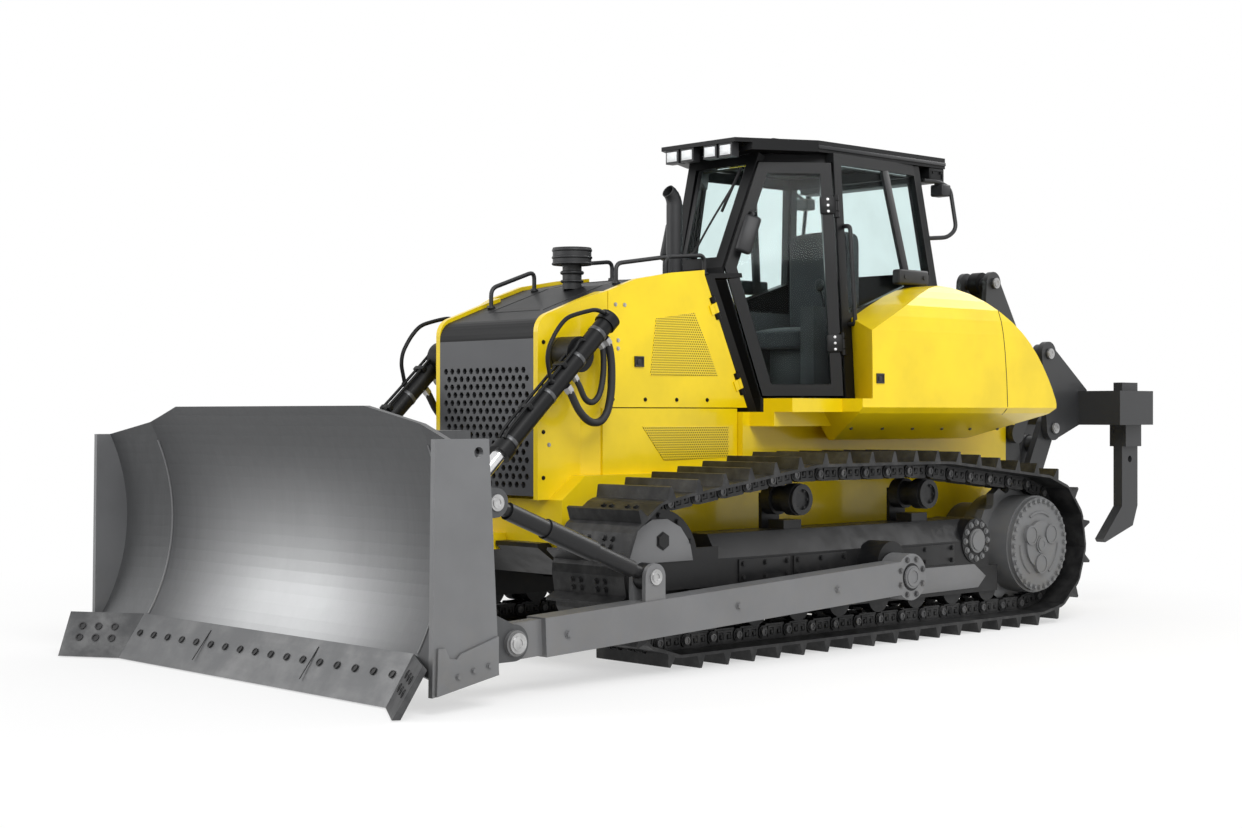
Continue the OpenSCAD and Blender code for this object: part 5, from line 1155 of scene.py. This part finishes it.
# small bolts along the nose and the engine doors
seamBolts = {"size": 0.008, "noseX": 450, "nose": [(-3600, z) for z in (1000, 1250, 1500, 1740)], "doorX": 520,
             "door": [(y, 1430) for y in (-3150, -2900, -2650, -2400)]}
places = sidePlaces(1, seamBolts["noseX"], seamBolts["nose"])
finish(boltsAt("noseBolts", seamBolts["size"], mirroredPlaces(places)), blackEnamel)
for side, label in sides:
    places = sidePlaces(side, seamBolts["doorX"], seamBolts["door"])
    finish(boltsAt("doorBolts" + label, seamBolts["size"], places), blackEnamel, label.lower() + "_engine_door")
print("seams and latches done")

# wear plates on the end plates' outer faces, with a stepped upper edge
wear = {"x": 1577, "boltX": 1583, "outline": ((-5200, 84), (-4842, 152), (-4842, 330), (-5060, 268), (-5085, 245),
                                              (-5125, 250), (-5150, 300), (-5190, 300)),
        "bolts": ((-4900, 200), (-4990, 185), (-5080, 165)), "thick": 0.014, "edge": 0.003, "boltSize": 0.011}
# caps and bolts at the push arms' trunnions, and plugs in the arms
trunnion = {"x": 1390, "y": -1596, "z": 404, "capR": 0.066, "ringR": 108, "bolts": 8, "boltSize": 0.012,
            "armFoot": (-4590, 262), "slope": 0.0474, "plugYs": (-4250, -3050, -2250), "plugSize": 0.014}


def wearPlate(name, side):
    plate = outlinePlate("wear", sideLine(side, wear["x"], wear["outline"]), wear["thick"], wear["edge"])
    return joined(name, [plate, boltsAt("wearBolts", wear["boltSize"], sidePlaces(side, wear["boltX"], wear["bolts"]))])


def trunnionCap(name, side):
    return roundBar(name, spot(side * (trunnion["x"] + 5), trunnion["y"], trunnion["z"]), (side, 0, 0),
                    trunnion["capR"], 0.014, 32, (0.012, 0.006), (0.016, -0.005))


def trunnionBolts(name, side):
    ring = ringPlaces(side, trunnion["x"], trunnion["y"], trunnion["z"], trunnion["ringR"],
                      evenly(trunnion["bolts"], 180 / trunnion["bolts"]))
    return boltsAt(name, trunnion["boltSize"], ring)


def armPlugs(name, side):
    footY, footZ = trunnion["armFoot"]
    rows = [(y, footZ + (y - footY) * trunnion["slope"]) for y in trunnion["plugYs"]]
    arm = "push_arm_left" if side > 0 else "push_arm_right"
    places = [onFace(arm, start, (-side, 0, 0)) for start in sideLine(side, 1800, rows)]
    return boltsAt(name, trunnion["plugSize"], places)


onBothSides(wearPlate, "wearPlate", plateEnamel, "blade")
onBothSides(trunnionCap, "trunnionCap", armEnamel)
onBothSides(trunnionBolts, "trunnionBolts", pinIron, "blade")
onBothSides(armPlugs, "armPlugs", armEnamel, "blade")
print("blade plates fitted")

# intake bowl and stem: moulded rings as height, radius and thickness
intake = {"y": -2992, "rings": ((2222, 0.113, 0.006), (2258, 0.113, 0.006), (2300, 0.110, 0.008), (2170, 0.062, 0.008),
                                (2120, 0.062, 0.006)), "stretch": 1.3}


def intakeRings():
    made = []
    for z, reach, thick in intake["rings"]:
        deselect()
        bpy.ops.mesh.primitive_torus_add(major_radius=reach, minor_radius=thick, major_segments=48, minor_segments=8,
                                         location=spot(0, intake["y"], z))
        bpy.context.object.scale = (1, 1, intake["stretch"])
        made.append(added("intakeRing"))
    return joined("intakeRings", made)


finish(intakeRings(), blackPlastic, angle=60)

# seams and screws of the yellow panels, laid on the panels themselves
panels = {"seam": ((-250, 2010), (-235, 1880), (-215, 1600), (-200, 1330)), "seamR": 0.0025, "screwSize": 0.008,
          "screws": ((-3130, 1960), (-3060, 1960), (-3110, 1760), (-3110, 1715), (-2180, 2080), (-2140, 2060),
                     (-3560, 1620), (-3560, 1180)),
          "fenderScrews": ((-1800, 1265), (-1500, 1262), (-1200, 1260), (-900, 1258), (-600, 1256), (-300, 1254),
                           (0, 1252)),
          "hoodOut": 1200, "fenderOut": 1700}
for side, label in sides:
    low = label.lower()
    inward = (-side, 0, 0)
    starts = sideLine(side, panels["fenderOut"], panels["seam"])
    seam = seamLine("fenderSeam" + label, "fender_" + low, starts, inward, panels["seamR"])
    finish(seam, blackRubber, angle=60)
    hoodStarts = sideLine(side, panels["hoodOut"], panels["screws"])
    fenderStarts = sideLine(side, panels["fenderOut"], panels["fenderScrews"])
    for name, node, body, starts, paint in (
            ("doorScrews", "engine_door_", low + "_engine_door", hoodStarts, pinSteel),
            ("panelScrews", "side_panel_", "tractor", hoodStarts, pinSteel),
            ("fenderScrews", "fender_", "tractor", fenderStarts, pinIron)):
        screws = [onFace(node + low, start, inward) for start in starts if meets(node + low, start, inward)]
        finish(boltsAt(name + label, panels["screwSize"], screws), paint, body)
print("panels screwed down")

# cover on the cab's rear wall, and the seams of the hood's lids
rearCover = {"corners": ((-430, 1560), (430, 1560), (400, 1960), (-400, 1960)), "thick": 0.012, "behind": 900,
             "boltXs": (-380, -130, 130, 380), "boltZs": (1595, 1925), "boltSize": 0.010}
starts = [spot(x, rearCover["behind"], z) for x, z in rearCover["corners"]]
cover = facePlate("rearPlate", "cab_rear", starts, (0, -1, 0), rearCover["thick"])
bolts = [onFace("cab_rear", spot(x, rearCover["behind"], z), (0, -1, 0))
         for x in rearCover["boltXs"] for z in rearCover["boltZs"]]
bolts = boltsAt("rearCoverBolts", rearCover["boltSize"],
                [(place + normal * rearCover["thick"], normal) for place, normal in bolts])
finish(joined("rearCover", [cover, bolts]), blackEnamel)

hoodSeams = {"xs": (-240, 240), "ys": (-3420, -2240), "across": (-3420, -2700, -2240), "above": 2600, "radius": 0.002}
lines = [[spot(x, y, hoodSeams["above"]) for y in hoodSeams["ys"]] for x in hoodSeams["xs"]]
lines += [[spot(x, y, hoodSeams["above"]) for x in hoodSeams["xs"]] for y in hoodSeams["across"]]
made = [seamLine("hoodSeam", "hood_top", line, (0, 0, -1), hoodSeams["radius"]) for line in lines]
finish(joined("hoodSeams", made), blackRubber, angle=60)
print("covers and lids done")


# floor and soft studio light
def seenRays(wire):  # camera, glossy and transmission rays
    return wire.node("LightPath", out=0) + wire.node("LightPath", out=3) + wire.node("LightPath", out=6)


deselect()
bpy.ops.mesh.primitive_plane_add(size=120, location=(0, 0, -0.002))
floor = bpy.context.object
floor.name = "studioFloor"
floorPaint, floorShader, floorWire = newPaint("studioFloor", {"Roughness": 0.9, "Specular IOR Level": 0.1})
floorPlace = objectPlace(floorWire)
floorTint = noiseOver(floorWire, floorPlace, 0.6, 3)
link(floorShader, "Base Color", blendTint(floorWire, floorTint, (0.90, 0.90, 0.90), (0.93, 0.93, 0.93)))
floorGlow = floorWire.node("Emission", None, {"Color": (1, 1, 1, 1), "Strength": 1.0})
floorReach = floorWire.node("VectorMath", {"operation": "LENGTH"}, {0: floorPlace}, out=1)
floorShare = softStep(floorWire, floorReach, 2.5, 7.0, 0.55, 1.0) * seenRays(floorWire)
floorLook = floorWire.node("MixShader", None, {0: floorShare, 1: Wire(floorWire.tree, floorShader.outputs[0]),
                                               2: floorGlow})
link(floorWire.tree.nodes["Material Output"], "Surface", floorLook)
floor.data.materials.append(floorPaint)

world = bpy.data.worlds.new("studio")
bpy.context.scene.world = world
world.use_nodes = True
worldWire = Wire(world.node_tree)
background = world.node_tree.nodes["Background"]
background.inputs["Color"].default_value = (1, 1, 1, 1)
link(background, "Strength", softStep(worldWire, seenRays(worldWire), 0.0, 1.0, 0.55, 1.0))

studioLights = {"key": ((9, -5, 9), 6.0, 900), "fill": ((-6, -10, 6), 7.0, 420), "back": ((2, 9, 8), 6.0, 420)}
for lightName, (place, size, power) in studioLights.items():
    deselect()
    aim = Vector((0, 0, 1)) - Vector(place)
    bpy.ops.object.light_add(type="AREA", location=place, rotation=aim.to_track_quat("-Z", "Y").to_euler())
    lamp = bpy.context.object
    lamp.name = lightName + "Light"
    lamp.data.size = size
    lamp.data.energy = power
print("studio set")
